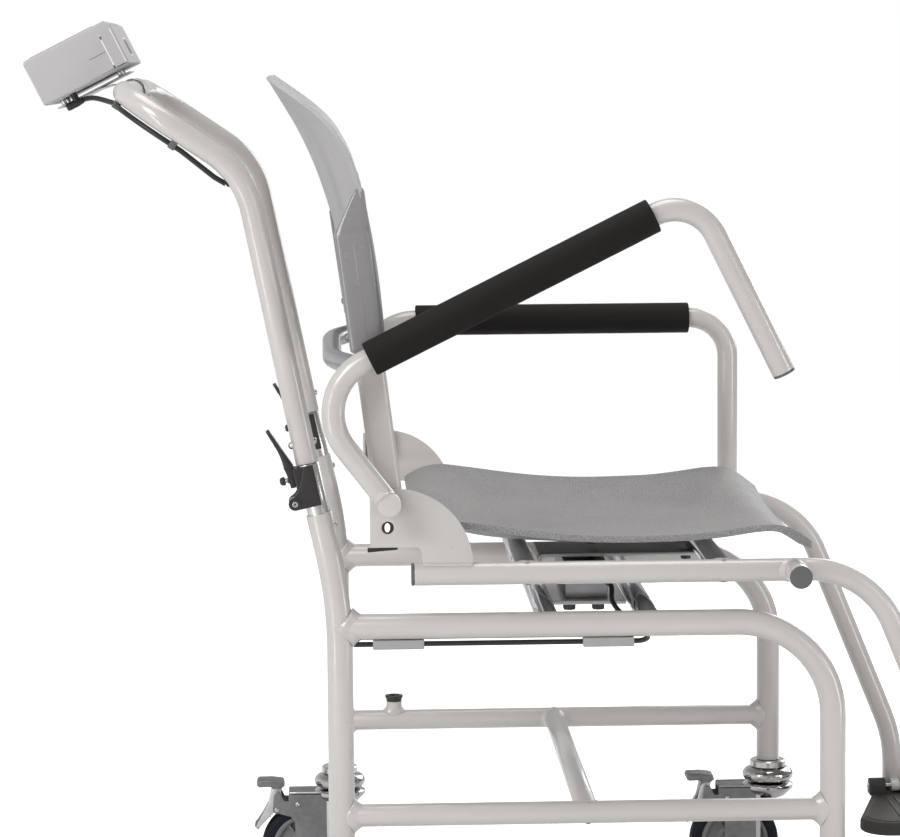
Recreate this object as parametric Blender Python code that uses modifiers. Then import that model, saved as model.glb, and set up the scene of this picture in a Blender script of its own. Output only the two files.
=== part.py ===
"""Digital chair scale: a tubular chair on castors that weighs the person who sits in it.

All sizes are metres. +X is the way the sitter faces, +Y the sitter's left, +Z up. Every place along X is
first given from the rear posts, and one empty then carries the whole chair so that the origin is under the
middle of its outer box, on the floor.
"""
import math

import bmesh
import bpy
import numpy as np
from mathutils import Matrix, Vector

# Fits
FIT = 0.0003
SLIDE_FIT = 0.0004
OVERRUN = 0.003
MERGE = 0.00001

# Roundness
FRAME_SIDES_RESOLUTION = 4
CORD_SIDES_RESOLUTION = 2
BEND_STEP_DEG = 15.0
SMALL_ROUND = 12
ROUND = 16
WHEEL_ROUND = 20

# Base side frames
FRAME_HALF_WIDTH = 0.240
FRAME_TUBE = 0.0254
FRAME_LENGTH = 0.4828
LEG_END_HEIGHT = 0.1467
TOP_RAIL_HEIGHT = 0.3798
TOP_RAIL_BEND = 0.094
BOTTOM_RAIL_TUBE = 0.0222
BOTTOM_RAIL_HEIGHT = 0.193
POST_BEND_RADIUS = 0.435
POST_LEAN_DEG = 12.3
POST_TOP_HEIGHT = 0.4924
POST_BEND_BELOW_TOP = 0.1344
POST_BEND_START = POST_TOP_HEIGHT - POST_BEND_BELOW_TOP
POST_SOCKET_DEPTH = 0.034
STUB_PLACE = 0.0617
STUB_DIAMETER = 0.0175
STUB_HEIGHT = 0.0215
COLLAR_HEIGHT = 0.0065
COLLAR_DIAMETER = 0.0165

# Base cross tubes
CROSS_TUBE = 0.0222
BOTTOM_CROSS_PLACE = 0.2416
BASE_CROSS_REAR_PLACE = 0.205
BASE_CROSS_FRONT_PLACE = 0.305

# Seat carriage sides
RAIL_HALF_WIDTH = 0.257
RAIL_TUBE = 0.0222
RAIL_ABOVE_BASE = 0.0537
RAIL_HEIGHT = TOP_RAIL_HEIGHT + RAIL_ABOVE_BASE
RAIL_REAR_PLACE = 0.0725
RAIL_CORNER_PLACE = 0.5158
RAIL_BEND = 0.088
LEG_REST_LEAN_DEG = 22.2
LEG_REST_LOWER_PLACE = 0.627
LEG_REST_LOWER_BEND = 0.150
LEG_REST_DROP = 0.3299
LEG_REST_END_HEIGHT = RAIL_HEIGHT - LEG_REST_DROP
CARRIAGE_CROSS_REAR_PLACE = 0.182
CARRIAGE_CROSS_FRONT_PLACE = 0.3725
PEG_PLACE = 0.4413
PEG_TUBE = 0.0222
PEG_LENGTH = 0.0525
CAP_THICKNESS = 0.0025
ARM_PIVOT_PLACE = 0.0485
ARM_PIVOT_ABOVE_RAIL = 0.0725
ARM_PIVOT_HEIGHT = RAIL_HEIGHT + ARM_PIVOT_ABOVE_RAIL

# Fan-shaped pivot plates
FAN_RADIUS = 0.0764
FAN_CENTRE_PLACE = 0.0533
FAN_CENTRE_BELOW_PIVOT = 0.0645
FAN_CENTRE_HEIGHT = ARM_PIVOT_HEIGHT - FAN_CENTRE_BELOW_PIVOT
FAN_REAR_PLACE = 0.030
FAN_LOWER_ABOVE_RAIL = 0.027
FAN_LOWER_HEIGHT = RAIL_HEIGHT + FAN_LOWER_ABOVE_RAIL
FAN_NOTCH_PLACE = 0.0735
FAN_NOTCH_REACH = 0.007
FAN_THICKNESS = 0.004
FAN_FLANGE = 0.012
FAN_FLANGE_SHEET = 0.003
FAN_HOLE = 0.012
FAN_HOLE_PLACE = 0.0472
FAN_HOLE_BELOW_PIVOT = 0.026
FAN_HOLE_HEIGHT = ARM_PIVOT_HEIGHT - FAN_HOLE_BELOW_PIVOT

# Armrests
ARM_HALF_WIDTH = 0.285
ARM_TUBE = 0.0222
ARM_RISE = 0.1325
ARM_LEAN_DEG = 11.0
ARM_REAR_BEND = 0.055
ARM_REACH = 0.3935
ARM_FRONT_BEND = 0.0435
ARM_RAISED_DEG = 26.4
PAD_TUBE = 0.034
PAD_END_GAP = 0.001
PAD_CHAMFER = 0.0015
PIVOT_BOLT = 0.012
PIVOT_HEAD = 0.019
PIVOT_HEAD_HEIGHT = 0.004
PIVOT_REACH = 0.018

# Footplates
PLATE_TOP_HEIGHT = LEG_REST_END_HEIGHT - FIT
PLATE_THICKNESS = 0.012
PLATE_WIDTH = 0.182
PLATE_OUTER_WIDTH = 0.262
PLATE_REAR_PLACE = 0.571
PLATE_LENGTH = 0.168
PLATE_CORNER = 0.032
PLATE_RIB_COUNT = 4
PLATE_RIB_WIDTH = 0.003
PLATE_RIB_DEPTH = 0.0012
HINGE_HALF_WIDTH = 0.236
HINGE_ABOVE_PLATE = 0.0065
KNUCKLE_RADIUS = 0.0062
KNUCKLE_LENGTH = 0.025
KNUCKLE_FOOT = 0.004
LUG_THICKNESS = 0.009
HINGE_PIN = 0.006
HINGE_PIN_PROUD = 0.001

# Seat shell
SEAT_REAR_PLACE = 0.075
SEAT_DEPTH = 0.390
SEAT_HALF_WIDTH = 0.238
SEAT_THICKNESS = 0.0062
SEAT_EDGE_ABOVE_RAIL = 0.032
SEAT_LOW_HEIGHT = RAIL_HEIGHT + SEAT_EDGE_ABOVE_RAIL
SEAT_EDGE_RISE = 0.0165
SEAT_CORNER = 0.040
SEAT_DISH_POWER = 2.6
SEAT_ACROSS = 12
# places along the depth, then heights, of the outer edge: shares of SEAT_DEPTH and SEAT_EDGE_RISE
SEAT_EDGE_SHARES = (
    (0.000, 0.28), (0.040, 0.72), (0.095, 0.97), (0.170, 0.80), (0.275, 0.44), (0.390, 0.13),
    (0.500, 0.00), (0.610, 0.02), (0.720, 0.13), (0.800, 0.36), (0.860, 0.55), (0.905, 0.56),
    (0.945, 0.30), (0.980, -0.25), (1.000, -0.62),
)
# heights of the middle line above the carriage tubes, at the same places: shares of SEAT_EDGE_RISE
SEAT_MIDDLE_SHARES = (
    0.78, 0.95, 0.72, 0.24, 0.00, 0.00, 0.00, 0.00, 0.00, 0.16, 0.42, 0.55, 0.36, -0.10, -0.42,
)

# Load cell between base and carriage
CHANNEL_REAR_PLACE = 0.206
CHANNEL_FRONT_PLACE = 0.386
CHANNEL_HALF_WIDTH = 0.036
CHANNEL_SHEET = 0.003
CHANNEL_LIP = 0.010
LOWER_PLATE_REAR_PLACE = 0.196
LOWER_PLATE_FRONT_PLACE = 0.314
LOWER_PLATE_HALF_WIDTH = 0.090
LOWER_PLATE_SHEET = 0.003
CELL_PLACE = 0.2555
CELL_WIDTH = 0.044
CELL_LENGTH = 0.150
CELL_SPACER = 0.0065
CELL_SPACER_LENGTH = 0.040
CELL_BORE = 0.016
CELL_BORE_SPACING = 0.032
CELL_BOLT = 0.010
CELL_BOLT_HEAD = 0.006
CELL_BOLT_SPACING = 0.030

# Back posts, back shell and bow
BACK_POST_HALF_WIDTH = 0.252
BACK_POST_DEPTH = 0.028
BACK_POST_WIDTH = 0.015
BACK_LEAN_DEG = 7.2
BACK_POST_FOOT = 0.0175
BACK_POST_RISE = 0.249
BACK_POST_TOP_HEIGHT = ARM_PIVOT_HEIGHT + BACK_POST_RISE
SLEEVE_DEPTH = 0.0345
SLEEVE_WIDTH = 0.020
SLEEVE_LOWER_RISE = 0.144
SLEEVE_LOWER_HEIGHT = ARM_PIVOT_HEIGHT + SLEEVE_LOWER_RISE
SLEEVE_UPPER_RISE = 0.260
SLEEVE_UPPER_HEIGHT = ARM_PIVOT_HEIGHT + SLEEVE_UPPER_RISE
SLEEVE_TIP_RISE = 0.300
SLEEVE_TIP_HEIGHT = ARM_PIVOT_HEIGHT + SLEEVE_TIP_RISE
SLEEVE_EDGE = 0.005
BACK_LOWER_RISE = 0.146
BACK_LOWER_HEIGHT = ARM_PIVOT_HEIGHT + BACK_LOWER_RISE
BACK_TOP_RISE = 0.408
BACK_TOP_HEIGHT = ARM_PIVOT_HEIGHT + BACK_TOP_RISE
BACK_THICKNESS = 0.004
BACK_TOP_HALF_WIDTH = 0.206
BACK_SWEEP = 0.110
BACK_ACROSS = 12
BACK_DISH_POWER = 2.0
BACK_TAPER_SHARE = 0.55
BACK_SKIN_PROUD = 0.0012
# height shares of the shell, then the places of its edge and of its middle line as shares of BACK_SWEEP
# behind the front of the sleeve's foot
BACK_SHARES = (
    (0.000, 0.000, 0.205), (0.150, 0.030, 0.250), (0.300, 0.070, 0.325), (0.450, 0.128, 0.420),
    (0.560, 0.180, 0.500), (0.660, 0.245, 0.585), (0.750, 0.345, 0.680), (0.820, 0.460, 0.765),
    (0.880, 0.610, 0.850), (0.940, 0.800, 0.935), (1.000, 1.000, 1.020),
)
BOW_TUBE = 0.0195
BOW_RISE = 0.126
BOW_HEIGHT = ARM_PIVOT_HEIGHT + BOW_RISE
BOW_PLACE = -0.004
BOW_BEND = 0.240
BOW_STRAIGHT_HALF = 0.130
SCREW_HEAD = 0.0065
SCREW_HEAD_HEIGHT = 0.0025
BACK_SCREW_ABOVE_SLEEVE = 0.016

# Push handle and its folding clamps, measured along the leaning post from its top
HANDLE_TUBE = 0.0222
HANDLE_END = 0.0498
HANDLE_KNEE_PLACE = -0.0898
HANDLE_KNEE_HEIGHT = 0.8192
HANDLE_KNEE_BEND = 0.090
HANDLE_TOP_PLACE = -0.203
HANDLE_TOP_HEIGHT = 0.8935
HANDLE_CORNER_BEND = 0.058
HINGE_PIN_BEHIND = 0.0199
HINGE_PIN_ABOVE = 0.015
CLAMP_PIN = 0.006
CLAMP_BOSS = 0.0063
CLAMP_LUG_RADIUS = 0.0057
CLAMP_LUG_HALF = 0.005
CLAMP_WALL = 0.0033
CLAMP_FRONT = 0.005
CLAMP_TOP = 0.0485
CLAMP_WEB_START = 0.0225
LEVER_PIVOT_BEHIND = 0.0212
LEVER_PIVOT_ABOVE = 0.0377
LEVER_ROOT_RADIUS = 0.0057
LEVER_ROOT_HALF = 0.008
LEVER_SLOT_CLEARANCE = 0.0012
LEVER_TIP_BEHIND = 0.0323
LEVER_TIP_ABOVE = 0.0893
LEVER_KNEE_BEHIND = 0.0200
LEVER_KNEE_ABOVE = 0.0520
LEVER_KNEE_THICKNESS = 0.0085
LEVER_TIP_THICKNESS = 0.0045
DRAW_BOLT = 0.005
DRAW_BOLT_END = 0.0315
DRAW_NUT = 0.0085
DRAW_NUT_HEIGHT = 0.0038
POST_SCREW_BELOW_TOP = 0.014

# Indicator
CASE_LENGTH = 0.0955
CASE_HEIGHT = 0.049
CASE_HALF_WIDTH = 0.105
CASE_TILT_DEG = 26.6
CASE_REAR_PLACE = -0.2870
CASE_REAR_HEIGHT = 0.8850
CASE_CHAMFER = 0.010
CASE_EDGE = 0.003
PANEL_INSET = 0.007
PANEL_THICKNESS = 0.0016
PANEL_PROUD = 0.0006
BRACKET_SHEET = 0.002
BRACKET_HALF_WIDTH = 0.040
BRACKET_REAR_GAP = 0.010
STRAP_START_DEG = 150.0
STRAP_END_DEG = -60.0
STRAP_TOP_DEG = 75.0
GLAND_DIAMETER = 0.012
GLAND_HEIGHT = 0.010
GLAND_PLACE_SHARE = 0.30
GLAND_SIDE = -0.070

# Cords and clips
CORD = 0.0052
CORD_STEP = 0.011
CLIP_LENGTH = 0.012
CLIP_WALL = 0.0022
FRAME_CLIP_LENGTH = 0.050
FRAME_CLIP_REAR_PLACE = 0.032
FRAME_CLIP_FRONT_PLACE = 0.237
FRAME_CLIP_HEIGHT = 0.0095
FRAME_CLIP_WIDTH = 0.013
CORD_BELOW_RAIL = 0.0045
# the lead from the cell: forward of the cell's middle, out from its end, below its middle
CELL_CORD_ROUTE = ((0.002, 0.020, 0.003), (0.026, 0.085, 0.01975), (0.045, 0.130, 0.02925))
# and on to the rail: forward of the cell's middle, inward of the rail, above its place under the rail
RAIL_CORD_ROUTE = ((0.0465, 0.016, 0.0005), (0.040, 0.003, 0.0))
CORD_END_GAP = 0.0006
CORD_BELOW_TUBE = 0.0040
CROSS_CLIP_INWARD = 0.070
SLOPE_CLIP_DISTANCE = 0.072
LOOP_DROP = 0.012
LOOP_SWING = 0.006
LOOP_SAG = 0.022
GROMMET_TURN_DEG = 18.0
GROMMET_DIAMETER = 0.009
GROMMET_HEIGHT = 0.0030
GROMMET_SEAT = 0.0008

# Castors
CASTOR_TRAIL = 0.0385
WHEEL_DIAMETER = 0.100
WHEEL_WIDTH = 0.024
TYRE_SHOULDER = 0.004
TYRE_INNER_RADIUS = 0.038
WEB_HALF = 0.006
HUB_DIAMETER = 0.030
HUB_LENGTH = 0.0285
AXLE = 0.008
AXLE_HEAD = 0.013
AXLE_HEAD_HEIGHT = 0.004
NUT_DIAMETER = 0.040
NUT_HEIGHT = 0.0125
NUT_FLANGE = 0.009
NUT_WAIST = 0.026
RACEWAY_DIAMETER = 0.057
RACEWAY_TOP_DIAMETER = 0.036
RACEWAY_HEIGHT = 0.016
RACEWAY_BELLY = 0.007
SWIVEL_GAP = 0.0012
FORK_RING_HEIGHT = 0.006
FORK_RING_NOSE = 0.0095
FORK_NOSE_DIAMETER = 0.038
KINGPIN = 0.012
KINGPIN_HEAD = 0.020
KINGPIN_HEAD_HEIGHT = 0.004
FORK_INNER_HALF = 0.0148
FORK_SHEET = 0.0025
FORK_FRONT = 0.014
FORK_REAR = 0.0505
FORK_FOOT_RADIUS = 0.012
FORK_TOP_REAR = 0.0575
FORK_TOP_SHEET = 0.003
FORK_EDGE_FOOT_HEIGHT = 0.044
FORK_HORN_REACH = 0.0755
FORK_HORN_FOOT_HEIGHT = 0.084
FORK_NOTCH = 0.0095
PEDAL_PIVOT_BEHIND = 0.071
PEDAL_PIVOT_HEIGHT = 0.0956
PEDAL_PIN = 0.005
PEDAL_BOSS = 0.0048
PEDAL_HALF = 0.0141
PEDAL_TREAD_REAR = 0.0225
PEDAL_TREAD_FRONT = 0.0095
PEDAL_TREAD_LOW = 0.0295
PEDAL_TREAD_TOP = 0.0365
PEDAL_ARM = 0.0055
PEDAL_HEEL_BEHIND = 0.0235
PEDAL_HEEL_BELOW = 0.0205
PEDAL_HEEL_THICKNESS = 0.004
SHOE_REACH = 0.0056
SHOE_DEG = -66.5

# Colours
PAINT = (0.60, 0.58, 0.55)
CHROME = (0.80, 0.80, 0.82)
SHELL_GREY = (0.23, 0.22, 0.22)
BLACK_PLASTIC = (0.015, 0.014, 0.013)
DARK_CAP = (0.12, 0.12, 0.12)
FOAM = (0.018, 0.016, 0.015)
ZINC = (0.20, 0.20, 0.21)
TYRE = (0.05, 0.05, 0.055)
CASE_GREY = (0.52, 0.50, 0.50)
PANEL_GREY = (0.08, 0.09, 0.11)
ALUMINIUM = (0.55, 0.55, 0.56)

SIDES = (("left", 1), ("right", -1))
AXLE_PLACES = (("rear", 0.0), ("front", FRAME_LENGTH))


def clear_scene():
    for obj in list(bpy.data.objects):
        bpy.data.objects.remove(obj, do_unlink=True)


def make_collection(name):
    collection = bpy.data.collections.new(name)
    bpy.context.scene.collection.children.link(collection)
    return collection


def make_material(name, colour, roughness, metallic=0.0):
    material = bpy.data.materials.new(name)
    material.use_nodes = True
    shader = material.node_tree.nodes["Principled BSDF"]
    shader.inputs["Base Color"].default_value = (*colour, 1.0)
    shader.inputs["Roughness"].default_value = roughness
    shader.inputs["Metallic"].default_value = metallic
    return material


clear_scene()
PARTS = make_collection("digital_chair_scale")
CUTTERS = make_collection("cutters")


def finish_of(name):
    """One material for each sub-part, chosen by what the piece is made of."""
    finishes = (
        ("pad", FOAM, 0.85, 0.0), ("cap", DARK_CAP, 0.5, 0.0), ("clip", DARK_CAP, 0.5, 0.0),
        ("cable", BLACK_PLASTIC, 0.45, 0.0), ("clamp_body", BLACK_PLASTIC, 0.5, 0.0),
        ("lever", BLACK_PLASTIC, 0.45, 0.0), ("footplate_p", ZINC, 0.3, 1.0),
        ("footplate", BLACK_PLASTIC, 0.6, 0.0), ("shell", SHELL_GREY, 0.45, 0.0),
        ("_wheel", TYRE, 0.5, 0.0), ("fork", ZINC, 0.35, 1.0), ("pedal", ZINC, 0.35, 1.0),
        ("castor_head", CHROME, 0.12, 1.0), ("bottom_cross", PAINT, 0.35, 0.0),
        ("cross_tube", CHROME, 0.1, 1.0), ("bow", CHROME, 0.1, 1.0), ("spigot", ALUMINIUM, 0.25, 1.0),
        ("bolt", ZINC, 0.35, 1.0), ("screw", ZINC, 0.35, 1.0), ("pin", ZINC, 0.3, 1.0),
        ("load_cell_plate", PAINT, 0.4, 0.0), ("load_cell", ALUMINIUM, 0.4, 1.0),
        ("load_channel", PAINT, 0.4, 0.0), ("panel", PANEL_GREY, 0.3, 0.0),
        ("bracket", PAINT, 0.35, 0.0), ("case", CASE_GREY, 0.5, 0.0),
    )
    for word, colour, roughness, metallic in finishes:
        if word in name:
            return make_material(name + "_finish", colour, roughness, metallic)
    return make_material(name + "_finish", PAINT, 0.35)


def place(obj, parent=None):
    """Hang an object on an empty; a child of a pivot keeps its mesh in the chair's own frame."""
    obj.parent = parent or CHAIR
    if parent is not None and parent.get("pivot"):
        obj.location = -parent.location
    return obj


def add_mesh(name, mesh, parent=None, cutter=False):
    obj = bpy.data.objects.new(name, mesh)
    (CUTTERS if cutter else PARTS).objects.link(obj)
    if cutter:
        obj.hide_render = True
        obj.display_type = "WIRE"
    else:
        mesh.materials.append(finish_of(name))
    mesh.shade_smooth()
    mesh.set_sharp_from_angle(angle=math.radians(35))
    return place(obj, parent)


def add_empty(name, location, parent=None, tilt=0.0, pivot=False):
    empty = bpy.data.objects.new(name, None)
    PARTS.objects.link(empty)
    empty.parent = parent
    empty.location = location
    empty.rotation_euler = (0.0, tilt, 0.0)
    if pivot:
        empty["pivot"] = True
    return empty


def mesh_from_bmesh(name, bm):
    mesh = bpy.data.meshes.new(name)
    bmesh.ops.recalc_face_normals(bm, faces=bm.faces[:])
    bm.to_mesh(mesh)
    bm.free()
    return mesh


def axis_matrix(centre, direction):
    return Matrix.Translation(Vector(centre)) @ Vector(direction).to_track_quat("Z", "Y").to_matrix().to_4x4()


def cylinder_mesh(name, radius, start, end, segments=ROUND, end_radius=None):
    """A cylinder or a cone frustum between two points."""
    start = Vector(start)
    end = Vector(end)
    bm = bmesh.new()
    bmesh.ops.create_cone(
        bm, cap_ends=True, cap_tris=False, segments=segments, radius1=radius,
        radius2=radius if end_radius is None else end_radius, depth=(end - start).length,
        matrix=axis_matrix((start + end) / 2, end - start))
    return mesh_from_bmesh(name, bm)


def box_mesh(name, low, high, bevel=0.0, bevel_segments=2):
    """A box between two corners, with its edges rounded when a bevel is given."""
    low = Vector(low)
    high = Vector(high)
    bm = bmesh.new()
    bmesh.ops.create_cube(bm, size=1.0)
    size = high - low
    bmesh.ops.scale(bm, vec=size, verts=bm.verts[:])
    bmesh.ops.translate(bm, vec=(low + high) / 2, verts=bm.verts[:])
    if bevel:
        bmesh.ops.bevel(bm, geom=bm.edges[:], offset=bevel, segments=bevel_segments, affect="EDGES")
    return mesh_from_bmesh(name, bm)


def arc(centre, radius, start_deg, end_deg, steps):
    """Points of a plane arc, both ends included."""
    angles = np.radians(np.linspace(start_deg, end_deg, steps + 1))
    return [(centre[0] + radius * math.cos(a), centre[1] + radius * math.sin(a)) for a in angles]


def bent_path(corners, radii):
    """The centre line of a bent tube: straight runs joined by arcs of the given radii at the inner corners."""
    corners = [Vector(c) for c in corners]
    points = [corners[0]]
    for before, corner, after, radius in zip(corners, corners[1:], corners[2:], radii):
        inward = (before - corner).normalized()
        onward = (after - corner).normalized()
        turn = math.pi - inward.angle(onward)
        setback = radius * math.tan(turn / 2)
        centre = corner + (inward + onward).normalized() * (radius / math.cos(turn / 2))
        start = corner + inward * setback - centre
        normal = start.cross(corner + onward * setback - centre).normalized()
        steps = max(2, round(math.degrees(turn) / BEND_STEP_DEG))
        for step in range(steps + 1):
            points.append(centre + Matrix.Rotation(turn * step / steps, 3, normal) @ start)
    points.append(corners[-1])
    return points


def tube_mesh(name, points, radius, resolution=FRAME_SIDES_RESOLUTION):
    """A solid round bar along the points: a bevelled curve made a mesh, with its caps welded."""
    curve = bpy.data.curves.new(name, "CURVE")
    curve.dimensions = "3D"
    curve.bevel_depth = radius
    curve.bevel_resolution = resolution
    curve.use_fill_caps = True
    spline = curve.splines.new("POLY")
    spline.points.add(len(points) - 1)
    for slot, point in zip(spline.points, points):
        slot.co = (*point, 1.0)
    return mesh_of_curve(name, curve)


def mesh_of_curve(name, curve):
    holder = bpy.data.objects.new(name + "_curve", curve)
    CUTTERS.objects.link(holder)
    bpy.context.view_layer.update()
    mesh = bpy.data.meshes.new_from_object(holder.evaluated_get(bpy.context.evaluated_depsgraph_get()))
    bpy.data.objects.remove(holder, do_unlink=True)
    bm = bmesh.new()
    bm.from_mesh(mesh)
    bmesh.ops.remove_doubles(bm, verts=bm.verts[:], dist=MERGE)
    bmesh.ops.recalc_face_normals(bm, faces=bm.faces[:])
    bm.to_mesh(mesh)
    bm.free()
    mesh.materials.clear()
    mesh.name = name
    return mesh


def outline_mesh(name, outline, thickness, middle=0.0, holes=()):
    """A flat plate that stands in the XZ plane: a filled 2D curve with a thickness along Y."""
    curve = bpy.data.curves.new(name, "CURVE")
    curve.dimensions = "2D"
    curve.fill_mode = "BOTH"
    curve.extrude = thickness / 2
    for loop in (outline, *holes):
        spline = curve.splines.new("POLY")
        spline.points.add(len(loop) - 1)
        for slot, point in zip(spline.points, loop):
            slot.co = (point[0], point[1], 0.0, 1.0)
        spline.use_cyclic_u = True
    mesh = mesh_of_curve(name, curve)
    mesh.transform(Matrix.Translation((0.0, middle, 0.0)) @ Matrix.Rotation(math.pi / 2, 4, "X"))
    return mesh


def turned_mesh(name, profile, steps, matrix=None):
    """A turned solid about Z, set in place by a matrix: the profile at +X runs round its outer side."""
    mesh = bpy.data.meshes.new(name)
    edges = [(i, i + 1) for i in range(len(profile) - 1)]
    if profile[0][0] > 0.0:
        edges.append((len(profile) - 1, 0))
    mesh.from_pydata([(radius, 0.0, height) for radius, height in profile], edges, [])
    holder = bpy.data.objects.new(name + "_profile", mesh)
    CUTTERS.objects.link(holder)
    screw = holder.modifiers.new("turn", "SCREW")
    screw.steps = steps
    screw.render_steps = steps
    screw.use_merge_vertices = True
    screw.merge_threshold = MERGE
    return finished_mesh(holder, matrix)


def finished_mesh(holder, matrix=None):
    """The mesh a helper object ends up with; the helper is then removed."""
    bpy.context.view_layer.update()
    mesh = bpy.data.meshes.new_from_object(holder.evaluated_get(bpy.context.evaluated_depsgraph_get()))
    mesh.name = holder.name
    for modifier in list(holder.modifiers):
        if modifier.type == "BOOLEAN":
            bpy.data.objects.remove(modifier.object, do_unlink=True)
    bpy.data.objects.remove(holder, do_unlink=True)
    mesh.materials.clear()
    if matrix is not None:
        mesh.transform(matrix)
    bm = bmesh.new()
    bm.from_mesh(mesh)
    bmesh.ops.recalc_face_normals(bm, faces=bm.faces[:])
    bm.to_mesh(mesh)
    bm.free()
    return mesh


def joined(obj, mesh_or_object, operation="UNION"):
    """Join another shape to an object, or cut it out."""
    tool = mesh_or_object
    if isinstance(tool, bpy.types.Mesh):
        tool = add_mesh(tool.name + "_tool", tool, obj.parent, cutter=True)
        tool.location = obj.location
    boolean = obj.modifiers.new(operation.lower(), "BOOLEAN")
    boolean.operation = operation
    boolean.solver = "EXACT"
    boolean.object = tool
    return obj


def cut(obj, mesh_or_object):
    return joined(obj, mesh_or_object, "DIFFERENCE")


def smooth_through(points, counts):
    """Points of a smooth curve through the given ones, with a number of steps for each stretch."""
    points = [np.array(p, float) for p in points]
    points = [2 * points[0] - points[1], *points, 2 * points[-1] - points[-2]]
    result = []
    for index in range(1, len(points) - 2):
        before, start, end, after = points[index - 1:index + 3]
        for step in range(counts):
            t = step / counts
            result.append(0.5 * (2 * start + (end - before) * t
                                 + (2 * before - 5 * start + 4 * end - after) * t ** 2
                                 + (3 * start - before - 3 * end + after) * t ** 3))
    result.append(points[-2])
    return result


def evenly(points, step):
    """The same route with a point at each even step of its length."""
    points = np.array([tuple(p) for p in points])
    lengths = np.concatenate([[0.0], np.cumsum(np.linalg.norm(np.diff(points, axis=0), axis=1))])
    count = max(3, round(lengths[-1] / step) + 1)
    places = np.linspace(0.0, lengths[-1], count)
    return [tuple(np.interp(places, lengths, points[:, axis])[i] for axis in range(3)) for i in range(count)]


# Where the chair stands on its origin
CASE_TILT = math.radians(CASE_TILT_DEG)
CASE_TOP_REAR_PLACE = CASE_REAR_PLACE - (CASE_HEIGHT - CASE_EDGE) * math.sin(CASE_TILT)
PLATE_FRONT_PLACE = PLATE_REAR_PLACE + PLATE_LENGTH
X_SHIFT = -(CASE_TOP_REAR_PLACE + PLATE_FRONT_PLACE) / 2
CHAIR = add_empty("chair_frame", (X_SHIFT, 0.0, 0.0))

# The leaning line that posts, spigots and handle share
POST_LEAN = math.radians(POST_LEAN_DEG)
LEAN_ARC_END_PLACE = -POST_BEND_RADIUS * (1 - math.cos(POST_LEAN))
LEAN_ARC_END_HEIGHT = POST_BEND_START + POST_BEND_RADIUS * math.sin(POST_LEAN)
POST_TOP_PLACE = LEAN_ARC_END_PLACE - (POST_TOP_HEIGHT - LEAN_ARC_END_HEIGHT) * math.tan(POST_LEAN)


def lean_point(forward, along, y=0.0):
    """A point given in the leaning post's own frame, from the middle of its top."""
    return Vector((
        POST_TOP_PLACE + forward * math.cos(POST_LEAN) - along * math.sin(POST_LEAN), y,
        POST_TOP_HEIGHT + forward * math.sin(POST_LEAN) + along * math.cos(POST_LEAN)))


def screw_mesh(point, outward):
    """A domed screw head that stands on a surface and reaches a little into it."""
    outward = Vector(outward).normalized()
    point = Vector(point)
    rise = outward * SCREW_HEAD_HEIGHT
    return cylinder_mesh("screw", SCREW_HEAD / 2, point - rise, point + rise, 10, end_radius=SCREW_HEAD / 3)


def side_frame(label, side):
    """One welded side of the base: post, top rail bent into the front leg, and bottom rail."""
    y = side * FRAME_HALF_WIDTH
    name = "side_frame_" + label
    radius = FRAME_TUBE / 2
    lean_steps = max(2, round(POST_LEAN_DEG / 3))
    post = [Vector((0.0, y, LEG_END_HEIGHT)), Vector((0.0, y, BOTTOM_RAIL_HEIGHT + FRAME_TUBE))]
    for step in range(lean_steps + 1):
        angle = POST_LEAN * step / lean_steps
        post.append(Vector((POST_BEND_RADIUS * (math.cos(angle) - 1), y,
                            POST_BEND_START + POST_BEND_RADIUS * math.sin(angle))))
    post.append(lean_point(0.0, 0.0, y))
    frame = add_mesh(name, tube_mesh(name, post, radius))
    rail = bent_path(
        [(0.0, y, TOP_RAIL_HEIGHT), (FRAME_LENGTH, y, TOP_RAIL_HEIGHT), (FRAME_LENGTH, y, LEG_END_HEIGHT)],
        [TOP_RAIL_BEND])
    joined(frame, tube_mesh(name + "_rail", rail, radius))
    lower = [(0.0, y, BOTTOM_RAIL_HEIGHT), (FRAME_LENGTH, y, BOTTOM_RAIL_HEIGHT)]
    joined(frame, tube_mesh(name + "_lower", lower, BOTTOM_RAIL_TUBE / 2))
    if side > 0:
        stub_top = BOTTOM_RAIL_HEIGHT + STUB_HEIGHT
        joined(frame, cylinder_mesh(name + "_stub", STUB_DIAMETER / 2, (STUB_PLACE, y, BOTTOM_RAIL_HEIGHT),
                                    (STUB_PLACE, y, stub_top), SMALL_ROUND))
        joined(frame, cylinder_mesh(name + "_collar", COLLAR_DIAMETER / 2, (STUB_PLACE, y, stub_top - OVERRUN),
                                    (STUB_PLACE, y, stub_top + COLLAR_HEIGHT), SMALL_ROUND))
    joined(frame, screw_mesh(lean_point(FRAME_TUBE / 2, -POST_SCREW_BELOW_TOP, y),
                             (math.cos(POST_LEAN), 0.0, math.sin(POST_LEAN))))
    cut(frame, cylinder_mesh(name + "_socket", HANDLE_TUBE / 2 + FIT, lean_point(0.0, -POST_SOCKET_DEPTH, y),
                             lean_point(0.0, OVERRUN, y)))


def cross_tube(name, place_x, height, reach, host_radius, half_width):
    """A tube across the chair whose ends are coped to sit on the round rails."""
    tube = add_mesh(name, cylinder_mesh(name, CROSS_TUBE / 2, (place_x, -reach, height), (place_x, reach, height)))
    for label, side in SIDES:
        start = (place_x - CROSS_TUBE, side * half_width, height)
        end = (place_x + CROSS_TUBE, side * half_width, height)
        cut(tube, cylinder_mesh(name + "_cope_" + label, host_radius + FIT, start, end))


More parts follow.
